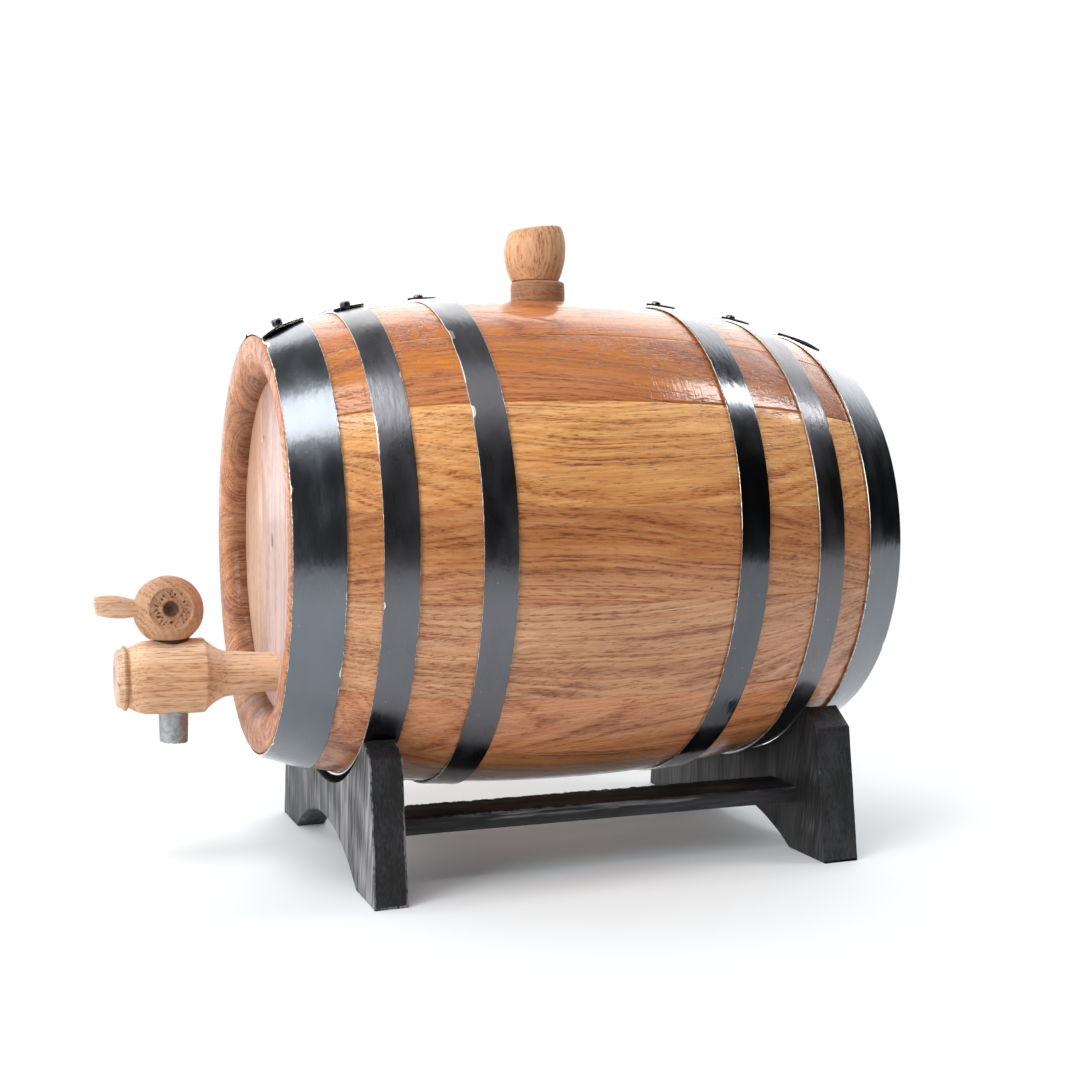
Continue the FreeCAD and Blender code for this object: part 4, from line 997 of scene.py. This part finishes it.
def key_tube():
    """The key's metal tube: a tapered wall, sawn ragged at its lower end."""
    low, high = SPIGOT_Z - 25.4, KNOB_FLAT + 9.6
    a = np.linspace(0, 2 * math.pi, 96, endpoint=False)
    heights = np.array([0.0, 0.25, 0.8, 2, 5, 9, 13, 20, 30, 40])
    outer = np.stack([5.25 + heights * 0.0277, heights], -1)
    outer[0, 0] -= 0.25
    inner = np.array([(3.2, 30.0), (3.2, 12), (3.2, 4), (3.2, 0.6), (3.4, 0.05)])
    top = np.array([(5.4, 40.1), (5.4, high - low), (3.2, high - low)])
    section = np.concatenate([outer, top, inner])
    r, h = section[:, :1], section[:, 1:]
    ragged = np.abs(unevenness(51, [a * 5.2], (3.2,), 9)) * 0.45
    ragged = ragged + 0.35 * (1 + np.cos(a - 2.4))
    z = low + h + ragged * (1 - smooth_step(0, 2.5, h))
    grid = np.stack([KEY_X + r * np.cos(a), r * np.sin(a), z], -1)
    make("key_tube_metal", grid, "spigot_key", ["spigot_key_plug"],
         key_metal, wrap_rows=True)


spigot()
key_knob()
key_peg()
key_tube()


# ------------------------------------------------------------------- stand

# Half widths of a cradle at its feet, shoulders, horns and arch, and the
# height of its shoulders.
FOOT, SHOULDER, HORN, ARCH = 80.5, 73.5, 64.0, 53.0
SHOULDER_Z = AXIS_Z - 72.0
CRADLE_PLAY = 0.3       # between a hoop and the round that it lies in
# How far the stain is rubbed off the boards' edges and off a lath's upper edges,
# and how much grey a lath's sides get, which is painted sheen.
EDGE_RUB, LATH_EDGE_RUB, LATH_SIDE_SHEEN = 0.95, 0.52, 0.72


def cradle(label, seed, notch, arch, rub_and_sheen):
    """One cradle board: an upright rounded outline in x and z carried along y.

    Its lower line is flat feet with an arch between, and its upper line goes
    from a foot up the slanted side to the shoulder, the horn and then down
    the round that the cask lies in.
    """
    low, high = box_mm(label)
    half = np.concatenate([along(0, ARCH, 64), along(ARCH + 0.4, HORN, 14),
                           along(HORN + 0.3, SHOULDER, 14),
                           along(SHOULDER + 0.3, FOOT - 0.15, 34)])
    y = np.concatenate([-half[:0:-1], half])
    reach = np.abs(y)
    horn_z = AXIS_Z - math.sqrt(notch ** 2 - HORN ** 2)
    top = np.where(
        reach > SHOULDER, SHOULDER_Z * (FOOT - reach) / (FOOT - SHOULDER),
        np.where(reach > HORN,
                 horn_z + (SHOULDER_Z - horn_z) * (reach - HORN) / (SHOULDER - HORN),
                 AXIS_Z - np.sqrt(np.maximum(notch ** 2 - reach ** 2, 0))))
    bow = bow_radius(arch, ARCH)
    bottom = np.where(reach > ARCH, 0.0,
                      np.sqrt(np.maximum(bow ** 2 - reach ** 2, 0)) - (bow - arch))
    height = top - bottom
    ease = np.minimum(0.5, 0.42 * height)[:, None]
    q = np.radians(along(0, 90, 4))
    t = along(0, 1, 26)[1:-1]
    one, nil = np.ones(4), np.zeros(4)
    parts = [  # share of the thickness, share of the height, inset in x and z
        (0 * t, t, 0 * t, 0 * t),
        (nil, one, 1 - np.cos(q), -(1 - np.sin(q))),
        (np.full(5, 0.5), np.ones(5), along(-4, 4, 5), 0 * along(-4, 4, 5)),
        (one, one, -(1 - np.cos(q[::-1])), -(1 - np.sin(q[::-1]))),
        (0 * t + 1, t[::-1], 0 * t, 0 * t),
        (one, nil, -(1 - np.cos(q)), 1 - np.sin(q)),
        (nil, nil, 1 - np.cos(q[::-1]), 1 - np.sin(q[::-1]))]
    share_x, share_z, inset_x, inset_z = (np.concatenate(p) for p in zip(*parts))
    flat = np.abs(inset_x) > 1.01
    thick = high[0] - low[0]
    x = low[0] + share_x * thick + np.where(flat, inset_x * thick / 12, inset_x * ease)
    z = bottom[:, None] + share_z * height[:, None] + inset_z * ease
    across = y[:, None] + 0 * z
    wave = unevenness(seed, [across, z], (26, 60)) * 0.08
    saw = unevenness(seed + 1, [across, z * 0.1], (3.2, 8.0)) * 0.05
    inside = (share_x < 0.01) | (share_x > 0.99)
    x = x + np.where(inside, np.abs(wave + saw) * np.where(share_x > 0.5, -1, 1), 0)
    chips = unevenness(seed + 2, [across, x], (4.0, 7.0)) * 0.16
    z = np.where(share_z > 0.99, z - np.abs(chips) * (height[:, None] > 3), z)
    z = np.maximum(z, 0.0)
    grid = np.stack([x, across, z], -1)
    lean = 0.2 * z * smooth_step(-25, -65, across)
    grain = np.stack([z, across + 50 * seed + lean, x], -1)
    edge = (np.abs(inset_x) > 0.01) & ~flat
    # on the faces the rubbed grey is partly rubbed stain and partly painted sheen
    rubbed_sheen_and_shade = rub_and_sheen + 0.1 * unevenness(seed + 3, [across, z], (45, 35))
    # painted shade: less grey from the near end to the middle and on to the far end, under the
    # cask
    rubbed_sheen_and_shade = rubbed_sheen_and_shade - 0.16 * smooth_step(-62, 0, across)     # the near end most
    wear = np.where(inside, rubbed_sheen_and_shade, edge * EDGE_RUB)
    make(label + "_board", grid, "stand", [label], black_softwood,
         grain=grain, wear=wear, crease=50)


def rail(label, seed):
    """A lath: a rounded rectangle carried along x, its upper edges splintered."""
    low, high = box_mm(label)
    size = high - low
    section = bar_section(size[1], size[2], 0.35, 14, 6)
    x = np.linspace(low[0], high[0], 260)[:, None]
    u, v = section[:, 0] + 0 * x, section[:, 1] + 0 * x
    tall = v / size[2]
    burr = np.abs(unevenness(seed, [x, u], (3.5, 14), 9))
    rim = smooth_step(0.75, 1.0, tall) * smooth_step(0.7, 1.0, np.abs(u) / (size[1] / 2))
    v = v - rim * burr * 0.55
    u = u * (1 - 0.012 * rim * burr)
    u = u - np.sign(u) * 0.12 * np.abs(unevenness(seed + 4, [x, v], (18, 3)))
    middle = (low + high) / 2
    grid = np.stack([x + 0 * u, middle[1] + u, low[2] + v], -1)
    grain = np.stack([grid[..., 0], u + 40 * seed, v], -1)
    side = smooth_step(0.93, 0.97, np.abs(u) / (size[1] / 2))
    # painted sheen: grey on the upper part of the lath's sides
    wear = np.maximum(LATH_EDGE_RUB * rim, LATH_SIDE_SHEEN * side * smooth_step(0.2, 0.6, tall))
    make(label + "_lath", grid, "stand", [label], black_softwood,
         grain=grain, wear=wear, crease=50)


def cradle_round(hoop, face):
    """Radius of a cradle's round, just outside the hoop that lies in it.

    face is how far the board's inner face stands from mid cask.
    """
    return float(cask_radius(face)) + hoop.lift + STRAP + CRADLE_PLAY


FRONT_NOTCH = cradle_round(HOOPS[1], 79.8)
REAR_NOTCH = cradle_round(HOOPS[4], 87.2)
FRONT_ARCH = AXIS_Z - FRONT_NOTCH - 14.5
# The front board's faces get more grey than the rear one's: partly rubbed stain,
# partly painted sheen on the front board and painted shade on the rear one under
# the cask.  The front board's arch is the higher one.
cradle("cradle_front", 61, FRONT_NOTCH, FRONT_ARCH, rub_and_sheen=0.86)
cradle("cradle_rear", 71, REAR_NOTCH, FRONT_ARCH - 2.6, rub_and_sheen=0.55)
rail("rail_near", 81)
rail("rail_far", 91)


# ---------------------------------------------------------- floor and lights

def ray_share(tree, *kinds):
    """1 for a ray of any of the kinds named, and 0 for the rest."""
    share = 0.0
    for kind in kinds:
        ray = add(tree, "LightPath", out=kind)
        share = add(tree, "Math", {0: share, 1: ray}, operation="MAXIMUM")
    return share


def studio_floor():
    """A sheet of matt white paper; far from the cask it is as white as the wall."""
    material, tree = new_material("matt_white_paper")
    place = add(tree, "TexCoord", out=3)
    away = add(tree, "VectorMath", {0: place}, out=1, operation="LENGTH")
    # within 0.1 m of the cask it is paper, and from 0.6 m on it is plain white
    away = add(tree, "MapRange", {0: away, 1: 0.1, 2: 0.6, 3: 0.06, 4: 1.0},
               interpolation_type="SMOOTHSTEP")
    seen = ray_share(tree, "Is Camera Ray", "Is Glossy Ray", "Is Transmission Ray")
    far_seen = add(tree, "Math", {0: away, 1: seen}, operation="MULTIPLY")
    paper = add(tree, "BsdfPrincipled", {"Base Color": paint("#f5fafd"), "Roughness": 0.9,
                                         "Specular IOR Level": 0.1})
    white = add(tree, "Emission", {"Color": (1, 1, 1, 1), "Strength": 1.0})
    mixed = add(tree, "MixShader", {0: far_seen, 1: paper, 2: white})
    add(tree, "OutputMaterial", {"Surface": mixed})
    mesh = bpy.data.meshes.new("floor_paper")
    reach, near = 4.0, -0.75
    mesh.from_pydata([(-reach, near, 0), (reach, near, 0), (reach, reach, 0),
                      (-reach, reach, 0)], [], [(0, 1, 2, 3)])
    mesh.materials.append(material)
    floor = bpy.data.objects.new("floor_paper", mesh)
    bpy.context.scene.collection.objects.link(floor)


def softbox(name, place, width, depth, watts, toward=None):
    """A rectangular lamp that hangs level, or is turned toward a point."""
    data = bpy.data.lights.new(name, "AREA")
    data.shape = "RECTANGLE"
    data.size, data.size_y, data.energy = width, depth, watts
    lamp = bpy.data.objects.new(name, data)
    lamp.location = place
    if toward:
        lamp.rotation_euler = (Vector(toward) - Vector(place)).to_track_quat("-Z", "Y").to_euler()
    bpy.context.scene.collection.objects.link(lamp)


def studio_walls():
    """The room: white to the camera, bright behind the cask, dim elsewhere."""
    world = bpy.data.worlds.new("studio_walls")
    world.use_nodes = True
    bpy.context.scene.world = world
    tree = world.node_tree
    tree.nodes.clear()
    # parts of the way one looks: to the side (X), back (Y) and up (Z)
    way = add(tree, "TexCoord", out=0)
    side, back, up = (add(tree, "SeparateXYZ", {0: way}, out=axis) for axis in range(3))
    behind = add(tree, "MapRange", {0: back, 1: 0.0, 2: 0.4, 3: 0.0, 4: 2.2},
                 interpolation_type="SMOOTHSTEP")
    # the bright wall fades out between 47 and 58 degrees up
    low = add(tree, "MapRange", {0: up, 1: 0.735, 2: 0.85, 3: 1.0, 4: 0.0},
              interpolation_type="SMOOTHSTEP")
    ceiling = add(tree, "MapRange", {0: up, 1: 0.6, 2: 0.9, 3: 0.02, 4: 0.18})
    left = add(tree, "MapRange", {0: side, 1: 0.35, 2: -0.5, 3: 0.0, 4: 0.09})
    dim = add(tree, "Math", {0: ceiling, 1: left}, operation="ADD")
    glow = add(tree, "Math", {0: behind, 1: low, 2: dim}, operation="MULTIPLY_ADD")
    room = add(tree, "Background", {"Color": (1, 1, 1, 1), "Strength": glow})
    white = add(tree, "Background", {"Color": (1, 1, 1, 1), "Strength": 1.0})
    seen = ray_share(tree, "Is Camera Ray", "Is Transmission Ray")
    mixed = add(tree, "MixShader", {0: seen, 1: room, 2: white})
    add(tree, "OutputWorld", {"Surface": mixed})


studio_floor()
studio_walls()
softbox("softbox_left", (-0.44, -0.41, 1.2), 0.62, 0.575, 6.2)
softbox("softbox_middle", (0.2, -0.41, 1.2), 0.56, 0.575, 1.0)
softbox("softbox_right", (0.9, -0.235, 1.1), 0.6, 0.2, 4.6)
softbox("softbox_side", (-1.45, -0.8, 0.7), 0.8, 0.8, 17.5, toward=(0, 0, 0.1))


# ------------------------------------------------------------------- camera

camera_data = bpy.data.cameras.new("camera")
camera_data.sensor_width = 36.0
camera_data.lens = 50.448
camera_data.clip_start = 0.02
camera = bpy.data.objects.new("camera", camera_data)
camera.location = (-0.191435, -0.58525, 0.15424)
camera.rotation_euler = Euler((math.radians(90 - 2.793), math.radians(-0.012),
                               math.radians(-20.610)))
bpy.context.scene.collection.objects.link(camera)
bpy.context.scene.camera = camera
bpy.context.scene.view_settings.view_transform = "Standard"
